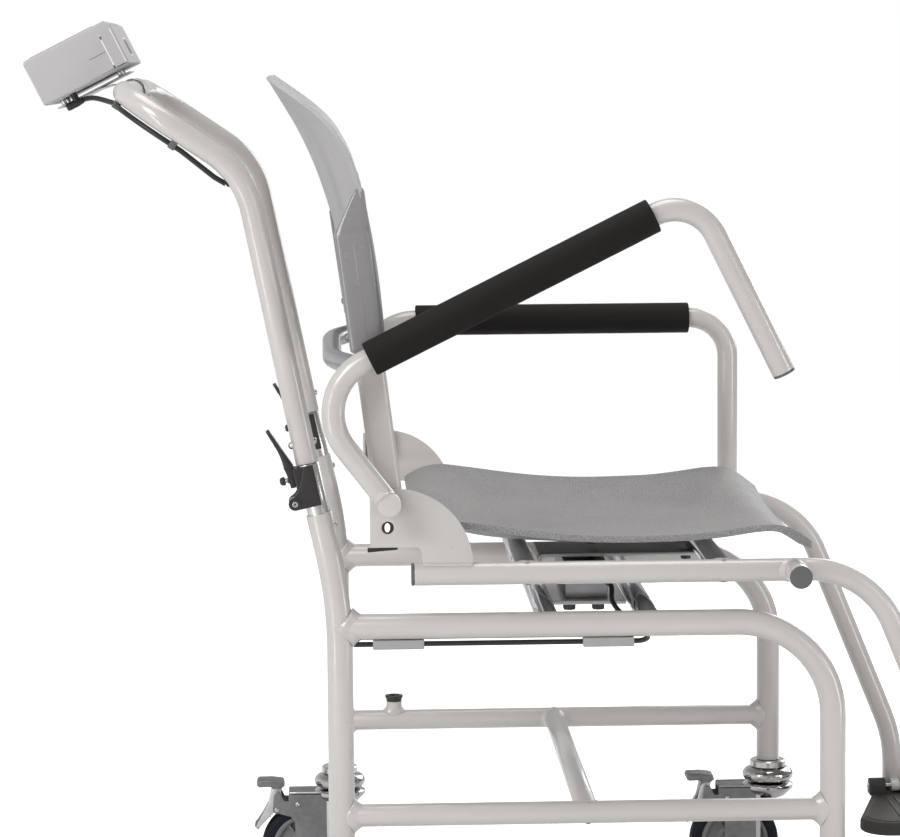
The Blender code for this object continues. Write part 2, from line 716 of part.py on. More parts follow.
def base_cross_tubes():
    frame_radius = FRAME_TUBE / 2
    lower_radius = BOTTOM_RAIL_TUBE / 2
    cross_tube("bottom_cross_tube", BOTTOM_CROSS_PLACE, BOTTOM_RAIL_HEIGHT, FRAME_HALF_WIDTH - lower_radius / 2,
               lower_radius, FRAME_HALF_WIDTH)
    for label, place_x in (("rear", BASE_CROSS_REAR_PLACE), ("front", BASE_CROSS_FRONT_PLACE)):
        cross_tube("base_cross_tube_" + label, place_x, TOP_RAIL_HEIGHT, FRAME_HALF_WIDTH - frame_radius / 2,
                   frame_radius, FRAME_HALF_WIDTH)


def fan_outline():
    """The pivot plate's outline: a quarter fan over the rail with a straight rear edge and a notch below."""
    centre = (FAN_CENTRE_PLACE, FAN_CENTRE_HEIGHT)
    rear_deg = math.degrees(math.acos((FAN_REAR_PLACE - FAN_CENTRE_PLACE) / FAN_RADIUS))
    notch = (FAN_NOTCH_PLACE, FAN_LOWER_HEIGHT - FAN_NOTCH_REACH)
    points = arc(centre, FAN_RADIUS, 0.0, rear_deg, 12)
    points.append((FAN_REAR_PLACE, FAN_LOWER_HEIGHT))
    points.extend(arc(notch, FAN_NOTCH_REACH, 90.0, 0.0, 3))
    points.append((FAN_NOTCH_PLACE + FAN_NOTCH_REACH, RAIL_HEIGHT))
    points.append((FAN_CENTRE_PLACE + FAN_RADIUS, RAIL_HEIGHT))
    return points


def circle(place_x, height, radius, steps=SMALL_ROUND):
    return arc((place_x, height), radius, 0.0, 360.0 * (steps - 1) / steps, steps - 1)


FAN_INNER_FACE = BACK_POST_HALF_WIDTH + BACK_POST_WIDTH / 2 + FIT
FAN_MIDDLE = FAN_INNER_FACE + FAN_THICKNESS / 2
HINGE_HEIGHT = PLATE_TOP_HEIGHT + HINGE_ABOVE_PLATE


def carriage_side(label, side):
    """Seat rail bent down into the leg-rest tube, with pivot plate, armrest peg and footplate lug welded on."""
    y = side * RAIL_HALF_WIDTH
    name = "carriage_side_" + label
    radius = RAIL_TUBE / 2
    lean = math.radians(LEG_REST_LEAN_DEG)
    knee_height = RAIL_HEIGHT - (LEG_REST_LOWER_PLACE - RAIL_CORNER_PLACE) / math.tan(lean)
    path = bent_path(
        [(RAIL_REAR_PLACE, y, RAIL_HEIGHT), (RAIL_CORNER_PLACE, y, RAIL_HEIGHT),
         (LEG_REST_LOWER_PLACE, y, knee_height), (LEG_REST_LOWER_PLACE, y, LEG_REST_END_HEIGHT)],
        [RAIL_BEND, LEG_REST_LOWER_BEND])
    rail = add_mesh(name, tube_mesh(name, path, radius))
    holes = (circle(FAN_HOLE_PLACE, FAN_HOLE_HEIGHT, FAN_HOLE / 2),
             circle(ARM_PIVOT_PLACE, ARM_PIVOT_HEIGHT, PIVOT_BOLT / 2 + FIT))
    joined(rail, outline_mesh(name + "_fan", fan_outline(), FAN_THICKNESS, side * FAN_MIDDLE, holes))
    flange_top = FAN_CENTRE_HEIGHT + math.sqrt(FAN_RADIUS ** 2 - (FAN_CENTRE_PLACE - FAN_REAR_PLACE) ** 2)
    flange_low = (FAN_REAR_PLACE, side * (FAN_MIDDLE - FAN_FLANGE), FAN_LOWER_HEIGHT)
    flange_high = (FAN_REAR_PLACE + FAN_FLANGE_SHEET, side * FAN_MIDDLE, flange_top - FAN_THICKNESS)
    joined(rail, box_mesh(name + "_flange", flange_low, flange_high))
    peg_end = side * (RAIL_HALF_WIDTH + PEG_LENGTH - CAP_THICKNESS)
    joined(rail, cylinder_mesh(name + "_peg", PEG_TUBE / 2, (PEG_PLACE, y, RAIL_HEIGHT),
                               (PEG_PLACE, peg_end, RAIL_HEIGHT)))
    lug = [(-KNUCKLE_RADIUS * math.sin(a), KNUCKLE_RADIUS * math.cos(a))
           for a in np.radians(np.linspace(0.0, 180.0, 9))]
    reach = RAIL_HALF_WIDTH - HINGE_HALF_WIDTH - radius / 2
    lug = [*lug, (reach, -KNUCKLE_RADIUS + FIT), (reach, KNUCKLE_RADIUS)]
    lug_mesh = outline_mesh(name + "_lug", lug, LUG_THICKNESS)
    turn = Matrix.Rotation(math.pi / 2 * side, 4, "Z")
    lug_mesh.transform(Matrix.Translation((LEG_REST_LOWER_PLACE, side * HINGE_HALF_WIDTH, HINGE_HEIGHT)) @ turn)
    joined(rail, lug_mesh)
    pin_reach = LUG_THICKNESS / 2 + FIT + KNUCKLE_LENGTH + HINGE_PIN_PROUD
    joined(rail, cylinder_mesh(name + "_pin", HINGE_PIN / 2,
                               (LEG_REST_LOWER_PLACE - pin_reach, side * HINGE_HALF_WIDTH, HINGE_HEIGHT),
                               (LEG_REST_LOWER_PLACE + pin_reach, side * HINGE_HALF_WIDTH, HINGE_HEIGHT), 12))


def carriage_cross_tubes():
    radius = RAIL_TUBE / 2
    for label, place_x in (("rear", CARRIAGE_CROSS_REAR_PLACE), ("front", CARRIAGE_CROSS_FRONT_PLACE)):
        cross_tube("carriage_cross_tube_" + label, place_x, RAIL_HEIGHT, RAIL_HALF_WIDTH - radius / 2, radius,
                   RAIL_HALF_WIDTH)


def end_caps():
    """Plugs on the open ends of the seat rails and of the armrest pegs."""
    for label, side in SIDES:
        y = side * RAIL_HALF_WIDTH
        rail_end = (RAIL_REAR_PLACE - FIT, y, RAIL_HEIGHT)
        rail_out = (RAIL_REAR_PLACE - FIT - CAP_THICKNESS, y, RAIL_HEIGHT)
        name = "rail_cap_" + label
        add_mesh(name, cylinder_mesh(name, RAIL_TUBE / 2, rail_end, rail_out))
        peg_end = side * (RAIL_HALF_WIDTH + PEG_LENGTH - CAP_THICKNESS + FIT)
        peg_out = side * (RAIL_HALF_WIDTH + PEG_LENGTH + FIT)
        name = "peg_cap_" + label
        add_mesh(name, cylinder_mesh(name, PEG_TUBE / 2, (PEG_PLACE, peg_end, RAIL_HEIGHT),
                                     (PEG_PLACE, peg_out, RAIL_HEIGHT)))


def shell_grid(name, rows, columns, point):
    """An open surface of quads whose points a function gives from two shares."""
    vertices = [point(i / rows, 2 * j / columns - 1) for i in range(rows + 1) for j in range(columns + 1)]
    step = columns + 1
    faces = [(i * step + j, i * step + j + 1, (i + 1) * step + j + 1, (i + 1) * step + j)
             for i in range(rows) for j in range(columns)]
    mesh = bpy.data.meshes.new(name)
    mesh.from_pydata([tuple(v) for v in vertices], [], faces)
    return mesh


def solidify(obj, thickness, offset):
    shell = obj.modifiers.new("wall", "SOLIDIFY")
    shell.thickness = thickness
    shell.offset = offset
    shell.use_even_offset = True
    return obj


def seat_shell():
    """The moulded seat: a dished sheet that rests on the two carriage tubes, with a waterfall front."""
    rows = len(SEAT_EDGE_SHARES) - 1
    rest_height = RAIL_HEIGHT + CROSS_TUBE / 2 + FIT + SEAT_THICKNESS
    corner_share = SEAT_CORNER / SEAT_DEPTH

    def point(along, across):
        row = round(along * rows)
        depth_share, edge_share = SEAT_EDGE_SHARES[row]
        edge = SEAT_LOW_HEIGHT + edge_share * SEAT_EDGE_RISE
        middle = rest_height + SEAT_MIDDLE_SHARES[row] * SEAT_EDGE_RISE
        end_gap = min(depth_share, 1 - depth_share) / corner_share
        narrowing = SEAT_CORNER * (1 - math.sqrt(1 - (1 - min(end_gap, 1.0)) ** 2)) / 2
        height = middle + (edge - middle) * abs(across) ** SEAT_DISH_POWER
        return (SEAT_REAR_PLACE + depth_share * SEAT_DEPTH, across * (SEAT_HALF_WIDTH - narrowing), height)

    seat = add_mesh("seat_shell", shell_grid("seat_shell", rows, SEAT_ACROSS, point))
    solidify(seat, SEAT_THICKNESS, 1.0)


CHANNEL_TOP = RAIL_HEIGHT - CROSS_TUBE / 2 - FIT
LOWER_PLATE_TOP = TOP_RAIL_HEIGHT - CROSS_TUBE / 2 - FIT
CELL_LOWER = LOWER_PLATE_TOP + FIT
CELL_UPPER = CHANNEL_TOP - CHANNEL_SHEET - FIT


def load_path():
    """Upper channel under the carriage, the load cell across the chair, and the plate under the base tubes."""
    top = CHANNEL_TOP
    sheet = CHANNEL_SHEET
    rear = CHANNEL_REAR_PLACE
    front = CHANNEL_FRONT_PLACE
    low = top - CHANNEL_LIP
    half = CHANNEL_HALF_WIDTH
    channel = add_mesh("load_channel", box_mesh("load_channel", (rear, -half, low), (front, half, top), sheet / 3, 1))
    cut(channel, box_mesh("load_channel_hollow", (rear + sheet, -half - OVERRUN, low - OVERRUN),
                          (front - sheet, half + OVERRUN, top - sheet)))
    for x in (rear + CELL_BOLT, front - CELL_BOLT):
        for y in (-CHANNEL_HALF_WIDTH / 2, CHANNEL_HALF_WIDTH / 2):
            joined(channel, cylinder_mesh("channel_bolt", CELL_BOLT / 2, (x, y, top - sheet / 2),
                                          (x, y, top - sheet - CELL_BOLT_HEAD), 10))
    plate_low = (LOWER_PLATE_REAR_PLACE, -LOWER_PLATE_HALF_WIDTH, LOWER_PLATE_TOP - LOWER_PLATE_SHEET)
    plate_high = (LOWER_PLATE_FRONT_PLACE, LOWER_PLATE_HALF_WIDTH, LOWER_PLATE_TOP)
    plate = add_mesh("load_cell_plate", box_mesh("load_cell_plate", plate_low, plate_high))
    for step in (-1, 1):
        x = CELL_PLACE + step * CELL_BOLT_SPACING / 2
        y = (CELL_SPACER_LENGTH - CELL_LENGTH) / 2
        joined(plate, cylinder_mesh("plate_bolt", CELL_BOLT / 2, (x, y, plate_low[2] + LOWER_PLATE_SHEET / 2),
                                    (x, y, plate_low[2] - CELL_BOLT_HEAD), 10))

    half = CELL_LENGTH / 2
    cell_low = (CELL_PLACE - CELL_WIDTH / 2, -half, CELL_LOWER + CELL_SPACER)
    cell_high = (CELL_PLACE + CELL_WIDTH / 2, half, CELL_UPPER - CELL_SPACER)
    cell = add_mesh("load_cell", box_mesh("load_cell", cell_low, cell_high))
    spacer = CELL_SPACER_LENGTH
    joined(cell, box_mesh("load_cell_foot", (cell_low[0], -half, CELL_LOWER),
                          (cell_high[0], spacer - half, cell_low[2] + OVERRUN)))
    joined(cell, box_mesh("load_cell_head", (cell_low[0], half - CHANNEL_HALF_WIDTH - spacer, cell_high[2] - OVERRUN),
                          (cell_high[0], half - CHANNEL_HALF_WIDTH, CELL_UPPER)))
    middle = (cell_low[2] + cell_high[2]) / 2
    for side in (-1, 1):
        y = side * CELL_BORE_SPACING / 2
        cut(cell, cylinder_mesh("load_cell_bore", CELL_BORE / 2, (cell_low[0] - OVERRUN, y, middle),
                                (cell_high[0] + OVERRUN, y, middle), SMALL_ROUND))
    slot = CELL_BORE / 6
    cut(cell, box_mesh("load_cell_slot", (cell_low[0] - OVERRUN, -CELL_BORE_SPACING / 2, middle - slot),
                       (cell_high[0] + OVERRUN, CELL_BORE_SPACING / 2, middle + slot)))


BACK_LEAN = math.radians(BACK_LEAN_DEG)


def back_axis_place(height):
    """Where the back post's middle line is, at a height: it passes through the armrest's pivot."""
    return ARM_PIVOT_PLACE - (height - ARM_PIVOT_HEIGHT) * math.tan(BACK_LEAN)


def leaning(mesh):
    """Tilt a mesh built upright round the armrest pivot so that it follows the back post."""
    mesh.transform(Matrix.Translation((ARM_PIVOT_PLACE, 0.0, ARM_PIVOT_HEIGHT))
                   @ Matrix.Rotation(-BACK_LEAN, 4, "Y"))
    return mesh


def oval_mesh(name, depth, width, low, high, y):
    """A flat-oval bar along Z between two distances from the pivot, leaning with the back."""
    radius = width / 2
    straight = depth / 2 - radius
    outline = [(x + straight, v) for x, v in arc((0.0, 0.0), radius, -90.0, 90.0, 6)]
    outline += [(x - straight, v) for x, v in arc((0.0, 0.0), radius, 90.0, 270.0, 6)]
    mesh = outline_mesh(name, outline, high - low)
    mesh.transform(Matrix.Translation((0.0, y, (low + high) / 2)) @ Matrix.Rotation(-math.pi / 2, 4, "X"))
    return leaning(mesh)


def back_posts():
    for label, side in SIDES:
        y = side * BACK_POST_HALF_WIDTH
        name = "back_post_" + label
        top = (BACK_POST_TOP_HEIGHT - ARM_PIVOT_HEIGHT) / math.cos(BACK_LEAN)
        post = add_mesh(name, oval_mesh(name, BACK_POST_DEPTH, BACK_POST_WIDTH, -BACK_POST_FOOT, top, y))
        centre = (ARM_PIVOT_PLACE, ARM_PIVOT_HEIGHT)
        head = side * (BACK_POST_HALF_WIDTH - BACK_POST_WIDTH / 2 - PIVOT_HEAD_HEIGHT)
        tip = side * (FAN_MIDDLE + FAN_THICKNESS / 2 + PIVOT_REACH)
        joined(post, cylinder_mesh(name + "_bolt_head", PIVOT_HEAD / 2, (centre[0], head, centre[1]),
                                   (centre[0], y, centre[1]), 8))
        joined(post, cylinder_mesh(name + "_bolt", PIVOT_BOLT / 2, (centre[0], y, centre[1]),
                                   (centre[0], tip, centre[1]), SMALL_ROUND))


def back_shell():
    """The moulded back: a sheet that is hollow towards the sitter, with a closed sleeve over each post."""
    rows = len(BACK_SHARES) - 1
    foot_front = back_axis_place(SLEEVE_LOWER_HEIGHT) + SLEEVE_DEPTH / 2
    inner_half = BACK_POST_HALF_WIDTH - SLEEVE_WIDTH / 2 - BACK_SKIN_PROUD
    edge_half = BACK_POST_HALF_WIDTH + SLEEVE_WIDTH / 4
    inner_columns = BACK_ACROSS - 2

    def point(up, across):
        height_share, edge_share, middle_share = BACK_SHARES[round(up * rows)]
        height = BACK_LOWER_HEIGHT + height_share * (BACK_TOP_HEIGHT - BACK_LOWER_HEIGHT)
        edge = foot_front - edge_share * BACK_SWEEP
        if height < SLEEVE_UPPER_HEIGHT + SLEEVE_EDGE:
            edge = max(edge, back_axis_place(height) + SLEEVE_DEPTH / 2 + BACK_SKIN_PROUD)
        middle = foot_front - middle_share * BACK_SWEEP
        taper = max(0.0, height_share - BACK_TAPER_SHARE) / (1 - BACK_TAPER_SHARE)
        narrowing = (edge_half - BACK_TOP_HALF_WIDTH) * taper ** 2
        column = round((across + 1) / 2 * BACK_ACROSS)
        inward = min(1.0, max(-1.0, 2 * (column - 1) / inner_columns - 1))
        reach = edge_half if column in (0, BACK_ACROSS) else inner_half
        return (middle + (edge - middle) * abs(inward) ** BACK_DISH_POWER, inward * (reach - narrowing), height)

    back = add_mesh("back_shell", shell_grid("back_shell", rows, BACK_ACROSS, point))
    solidify(back, BACK_THICKNESS, -1.0)
    half = SLEEVE_DEPTH / 2
    low = (SLEEVE_LOWER_HEIGHT - ARM_PIVOT_HEIGHT) / math.cos(BACK_LEAN)
    shoulder = (SLEEVE_UPPER_HEIGHT - ARM_PIVOT_HEIGHT) / math.cos(BACK_LEAN)
    tip = (SLEEVE_TIP_HEIGHT - ARM_PIVOT_HEIGHT) / math.cos(BACK_LEAN)
    gusset = [(half - SLEEVE_EDGE * 2, shoulder - SLEEVE_EDGE), (half - SLEEVE_EDGE, tip - SLEEVE_EDGE),
              (half - SLEEVE_EDGE * 1.5, tip), (SLEEVE_EDGE - half, shoulder - SLEEVE_EDGE)]
    for label, side in SIDES:
        y = side * BACK_POST_HALF_WIDTH
        corner = Vector((half, SLEEVE_WIDTH / 2, 0.0))
        sleeve = box_mesh("back_sleeve_" + label, Vector((0.0, y, low)) - corner, Vector((0.0, y, shoulder)) + corner,
                          SLEEVE_EDGE)
        joined(back, leaning(sleeve))
        joined(back, leaning(outline_mesh("back_gusset_" + label, gusset, SLEEVE_WIDTH / 2, y)))
        joined(back, leaning(screw_mesh((-half, y, low + BACK_SCREW_ABOVE_SLEEVE), (-1, 0, 0))))
    for label, side in SIDES:
        y = side * BACK_POST_HALF_WIDTH
        top = (BACK_POST_TOP_HEIGHT - ARM_PIVOT_HEIGHT) / math.cos(BACK_LEAN) + FIT
        cut(back, oval_mesh("back_pocket_" + label, BACK_POST_DEPTH + FIT * 2, BACK_POST_WIDTH + FIT * 2,
                            low - OVERRUN, top, y))


def back_bow():
    """A chrome tube that joins the back posts and bows behind them under the back shell."""
    start_y = BACK_POST_HALF_WIDTH - BACK_POST_WIDTH / 2 - FIT
    start_x = back_axis_place(BOW_HEIGHT)
    corners = [(start_x, -start_y, BOW_HEIGHT), (BOW_PLACE, -BOW_STRAIGHT_HALF, BOW_HEIGHT),
               (BOW_PLACE, BOW_STRAIGHT_HALF, BOW_HEIGHT), (start_x, start_y, BOW_HEIGHT)]
    bow = add_mesh("back_bow", tube_mesh("back_bow", bent_path(corners, [BOW_BEND, BOW_BEND]), BOW_TUBE / 2))
    for label, side in SIDES:
        outer = side * (start_y + BOW_TUBE)
        low = (start_x - BOW_TUBE, min(outer, side * start_y), BOW_HEIGHT - BOW_TUBE)
        high = (start_x + BOW_TUBE, max(outer, side * start_y), BOW_HEIGHT + BOW_TUBE)
        cut(bow, box_mesh("bow_end_" + label, low, high))


def arm_parts(label, side):
    """One armrest: a bent tube that turns on its stub, with a foam sleeve and an end cap."""
    y = side * ARM_HALF_WIDTH
    raised = math.radians(ARM_RAISED_DEG) if side < 0 else 0.0
    pivot = add_empty("arm_pivot_" + label, (ARM_PIVOT_PLACE, y, ARM_PIVOT_HEIGHT), CHAIR, tilt=-raised)
    radius = ARM_TUBE / 2
    lean = math.radians(ARM_LEAN_DEG)
    end = RAIL_HEIGHT + PEG_TUBE / 2 + FIT - ARM_PIVOT_HEIGHT
    path = bent_path(
        [(0, 0, 0), (-ARM_RISE * math.tan(lean), 0, ARM_RISE), (ARM_REACH, 0, ARM_RISE), (ARM_REACH, 0, end)],
        [ARM_REAR_BEND, ARM_FRONT_BEND])
    name = "arm_" + label
    arm = add_mesh(name, tube_mesh(name, path, radius), pivot)
    inner = side * (FAN_MIDDLE + FAN_THICKNESS / 2 + FIT - ARM_HALF_WIDTH)
    joined(arm, cylinder_mesh(name + "_stub", radius, (0, inner, 0), (0, side * radius, 0)))
    cut(arm, cylinder_mesh(name + "_bore", PIVOT_BOLT / 2 + FIT, (0, inner - side * OVERRUN, 0),
                           (0, inner + side * (PIVOT_REACH + FIT), 0), SMALL_ROUND))
    rear_setback = ARM_REAR_BEND * math.tan((math.pi / 2 + lean) / 2)
    pad_start = rear_setback - ARM_RISE * math.tan(lean) + PAD_END_GAP
    pad_end = ARM_REACH - ARM_FRONT_BEND - PAD_END_GAP
    outer = PAD_TUBE / 2
    bore = radius + FIT
    profile = [(bore, pad_start), (outer - PAD_CHAMFER, pad_start), (outer, pad_start + PAD_CHAMFER),
               (outer, pad_end - PAD_CHAMFER), (outer - PAD_CHAMFER, pad_end), (bore, pad_end)]
    along = Matrix.Translation((0.0, 0.0, ARM_RISE)) @ Matrix.Rotation(math.pi / 2, 4, "Y")
    add_mesh("arm_pad_" + label, turned_mesh("arm_pad_" + label, profile, ROUND, along), pivot)


def footplate(label, side):
    """A ribbed plastic plate that flips up on two knuckles beside the leg-rest tube."""
    pivot = add_empty("footplate_pivot_" + label, (LEG_REST_LOWER_PLACE, side * HINGE_HALF_WIDTH, HINGE_HEIGHT),
                      CHAIR, pivot=True)
    name = "footplate_" + label
    x0 = PLATE_REAR_PLACE
    x1 = PLATE_FRONT_PLACE
    outer = PLATE_OUTER_WIDTH
    inner = outer - PLATE_WIDTH
    r = PLATE_CORNER
    outline = []
    outline += arc((x0 + r * 2, outer - r), r, 90.0, 180.0, 4)
    outline += arc((x0 + r, inner + r), r, 180.0, 270.0, 4)
    outline += arc((x1 - r, inner + r), r, 270.0, 360.0, 4)
    outline += arc((x1 - r / 2, outer - r / 2), r / 2, 0.0, 90.0, 4)
    mesh = outline_mesh(name, outline, PLATE_THICKNESS)
    mesh.transform(Matrix.Rotation(-math.pi / 2, 4, "X"))
    if side < 0:
        mesh.transform(Matrix.Scale(-1.0, 4, (0, 1, 0)))
        mesh.flip_normals()
    mesh.transform(Matrix.Translation((0.0, 0.0, PLATE_TOP_HEIGHT - PLATE_THICKNESS / 2)))
    plate = add_mesh(name, mesh, pivot)
    y = side * HINGE_HALF_WIDTH
    reach = LUG_THICKNESS / 2 + FIT + KNUCKLE_LENGTH / 2
    foot = -HINGE_ABOVE_PLATE - KNUCKLE_FOOT
    tombstone = [(KNUCKLE_RADIUS, foot), *arc((0.0, 0.0), KNUCKLE_RADIUS, 0.0, 180.0, 6), (-KNUCKLE_RADIUS, foot)]
    for knuckle, middle in (("rear", -reach), ("front", reach)):
        body = outline_mesh(name + "_knuckle_" + knuckle, tombstone, KNUCKLE_LENGTH)
        body.transform(Matrix.Translation((LEG_REST_LOWER_PLACE + middle, y, HINGE_HEIGHT))
                       @ Matrix.Rotation(math.pi / 2, 4, "Z"))
        joined(plate, body)
    bore_reach = reach + KNUCKLE_LENGTH / 2 + OVERRUN
    cut(plate, cylinder_mesh(name + "_bore", HINGE_PIN / 2 + FIT,
                             (LEG_REST_LOWER_PLACE - bore_reach, y, HINGE_HEIGHT),
                             (LEG_REST_LOWER_PLACE + bore_reach, y, HINGE_HEIGHT), SMALL_ROUND))
    pitch = (PLATE_WIDTH / 2) / PLATE_RIB_COUNT
    for rib in range(PLATE_RIB_COUNT):
        middle = side * (inner + PLATE_CORNER + pitch * (2 * rib + 1) / 2)
        groove_low = (x0 + r * 1.5, middle - PLATE_RIB_WIDTH / 2, PLATE_TOP_HEIGHT - PLATE_RIB_DEPTH)
        groove_high = (x1 - r / 2, middle + PLATE_RIB_WIDTH / 2, PLATE_TOP_HEIGHT + OVERRUN)
        cut(plate, box_mesh(name + "_groove", groove_low, groove_high))


CLAMP_HALF = HANDLE_TUBE / 2 + SLIDE_FIT + CLAMP_WALL
CLAMP_PIN_POINT = lean_point(-HINGE_PIN_BEHIND, HINGE_PIN_ABOVE)
SPIGOT_TOP = HANDLE_END - FIT


def lean_transform(mesh, side):
    """Set a mesh built upright into the leaning post's frame on one side."""
    mesh.transform(Matrix.Translation(lean_point(0.0, 0.0, side * FRAME_HALF_WIDTH))
                   @ Matrix.Rotation(-POST_LEAN, 4, "Y"))
    return mesh


def hinge_spigots():
    """Aluminium tubes in the post tops, each with the rear lug that the handle's clamp turns on."""
    for label, side in SIDES:
        name = "hinge_spigot_" + label
        bottom = -POST_SOCKET_DEPTH + FIT
        spigot = add_mesh(name, lean_transform(
            cylinder_mesh(name, HANDLE_TUBE / 2, (0, 0, bottom), (0, 0, SPIGOT_TOP)), side))
        lug = arc((-HINGE_PIN_BEHIND, HINGE_PIN_ABOVE), CLAMP_LUG_RADIUS, 90.0, 270.0, 8)
        lug += [(-HANDLE_TUBE / 3, HINGE_PIN_ABOVE - CLAMP_LUG_RADIUS),
                (-HANDLE_TUBE / 3, HINGE_PIN_ABOVE + CLAMP_LUG_RADIUS)]
        joined(spigot, lean_transform(outline_mesh(name + "_lug", lug, CLAMP_LUG_HALF * 2), side))
        joined(spigot, lean_transform(cylinder_mesh(
            name + "_pin", CLAMP_PIN / 2, (-HINGE_PIN_BEHIND, -CLAMP_HALF - FIT, HINGE_PIN_ABOVE),
            (-HINGE_PIN_BEHIND, CLAMP_HALF + FIT, HINGE_PIN_ABOVE), 12), side))


def handle_path():
    """Centre line of the push handle from the right clamp up, across and down to the left clamp."""
    end = lean_point(0.0, HANDLE_END)
    right = -FRAME_HALF_WIDTH
    knee = (HANDLE_KNEE_PLACE, HANDLE_KNEE_HEIGHT)
    top = (HANDLE_TOP_PLACE, HANDLE_TOP_HEIGHT)
    corners = [(end.x, right, end.z), (knee[0], right, knee[1]), (top[0], right, top[1]),
               (top[0], -right, top[1]), (knee[0], -right, knee[1]), (end.x, -right, end.z)]
    radii = [HANDLE_KNEE_BEND, HANDLE_CORNER_BEND, HANDLE_CORNER_BEND, HANDLE_KNEE_BEND]
    return bent_path(corners, radii)


def clamp_outline():
    """Side view of a clamp body: a channel wall along the spigot that widens into the pin boss."""
    boss = (-HINGE_PIN_BEHIND, HINGE_PIN_ABOVE)
    web = HANDLE_TUBE / 2 + SLIDE_FIT + CLAMP_WALL
    points = [(CLAMP_FRONT, HINGE_PIN_ABOVE - CLAMP_BOSS), (CLAMP_FRONT, CLAMP_TOP), (-web, CLAMP_TOP),
              (-web, CLAMP_WEB_START + CLAMP_WALL)]
    points += arc(boss, CLAMP_BOSS, 110.0, 270.0, 8)
    return points


def clamp_body(label, side, pivot):
    name = "clamp_body_" + label
    body = add_mesh(name, lean_transform(outline_mesh(name, clamp_outline(), CLAMP_HALF * 2), side), pivot)
    channel = HANDLE_TUBE / 2 + SLIDE_FIT
    low = HINGE_PIN_ABOVE - CLAMP_BOSS - OVERRUN
    high = CLAMP_TOP + OVERRUN
    cut(body, lean_transform(cylinder_mesh(name + "_channel", channel, (0, 0, low), (0, 0, high)), side))
    relief = CLAMP_BOSS - HINGE_PIN_BEHIND
    front = CLAMP_FRONT + OVERRUN
    mouth = [(relief, low), (front, low), (front, high), (0, high), (0, HINGE_PIN_ABOVE), (relief, HINGE_PIN_ABOVE)]
    cut(body, lean_transform(outline_mesh(name + "_mouth", mouth, channel * 2), side))
    slot = CLAMP_LUG_HALF + SLIDE_FIT
    rear = -HINGE_PIN_BEHIND - CLAMP_BOSS - OVERRUN
    cut(body, lean_transform(box_mesh(name + "_lug_slot", (rear, -slot, low), (0, slot, CLAMP_WEB_START)), side))
    reach = CLAMP_HALF + OVERRUN
    cut(body, lean_transform(cylinder_mesh(
        name + "_pin_hole", CLAMP_PIN / 2 + FIT, (-HINGE_PIN_BEHIND, -reach, HINGE_PIN_ABOVE),
        (-HINGE_PIN_BEHIND, reach, HINGE_PIN_ABOVE), SMALL_ROUND), side))
    web = HANDLE_TUBE / 2 + SLIDE_FIT + CLAMP_WALL / 2
    joined(body, lean_transform(cylinder_mesh(
        name + "_draw_bolt", DRAW_BOLT / 2, (-web, 0, LEVER_PIVOT_ABOVE), (-DRAW_BOLT_END, 0, LEVER_PIVOT_ABOVE), 12),
        side))
    joined(body, lean_transform(cylinder_mesh(
        name + "_draw_arm", DRAW_BOLT / 2 - FIT, (-LEVER_PIVOT_BEHIND, -LEVER_ROOT_HALF, LEVER_PIVOT_ABOVE),
        (-LEVER_PIVOT_BEHIND, LEVER_ROOT_HALF, LEVER_PIVOT_ABOVE), 12), side))
    joined(body, lean_transform(cylinder_mesh(
        name + "_nut", DRAW_NUT / 2, (-DRAW_BOLT_END + DRAW_NUT_HEIGHT, 0, LEVER_PIVOT_ABOVE),
        (-DRAW_BOLT_END - FIT, 0, LEVER_PIVOT_ABOVE), 12), side))


def clamp_lever(label, side, handle_pivot):
    """Quick-release lever: two cheeks round the draw bolt's arm, and a blade that lies along the handle."""
    point = lean_point(-LEVER_PIVOT_BEHIND, LEVER_PIVOT_ABOVE, side * FRAME_HALF_WIDTH)
    pivot = add_empty("lever_pivot_" + label, point - handle_pivot.location, handle_pivot, pivot=True)
    pivot["pivot"] = False
    name = "clamp_lever_" + label
    web = HANDLE_TUBE / 2 + SLIDE_FIT + CLAMP_WALL + FIT
    centre = (-LEVER_PIVOT_BEHIND, LEVER_PIVOT_ABOVE)
    knee = Vector((-LEVER_KNEE_BEHIND, LEVER_KNEE_ABOVE))
    tip = Vector((-LEVER_TIP_BEHIND, LEVER_TIP_ABOVE))
    across = Vector((tip.y - knee.y, knee.x - tip.x)).normalized()
    outline = arc(centre, LEVER_ROOT_RADIUS, 180.0, 360.0, 8)
    outline.append((-web - FIT, LEVER_KNEE_ABOVE - LEVER_KNEE_THICKNESS))
    outline.append(tuple(knee + across * LEVER_KNEE_THICKNESS / 2))
    outline.append(tuple(tip + across * LEVER_TIP_THICKNESS / 2))
    outline.append(tuple(tip - across * LEVER_TIP_THICKNESS / 2))
    outline.append(tuple(knee - across * LEVER_KNEE_THICKNESS / 2))
    mesh = lean_transform(outline_mesh(name, outline, LEVER_ROOT_HALF * 2), side)
    lever = add_mesh(name, mesh, handle_pivot)
    lever.parent = pivot
    lever.location = -point
    slot_half = DRAW_NUT / 2 + SLIDE_FIT
    slot_top = centre[1] + DRAW_BOLT_END - LEVER_PIVOT_BEHIND + LEVER_SLOT_CLEARANCE
    slot_low = (-DRAW_BOLT_END, -slot_half, centre[1] - LEVER_ROOT_RADIUS - OVERRUN)
    slot_high = (-web + OVERRUN, slot_half, slot_top)
    cut(lever, lean_transform(box_mesh(name + "_slot", slot_low, slot_high), side))
    reach = LEVER_ROOT_HALF + OVERRUN
    cut(lever, lean_transform(cylinder_mesh(
        name + "_bore", DRAW_BOLT / 2, (centre[0], -reach, centre[1]), (centre[0], reach, centre[1]),
        SMALL_ROUND), side))


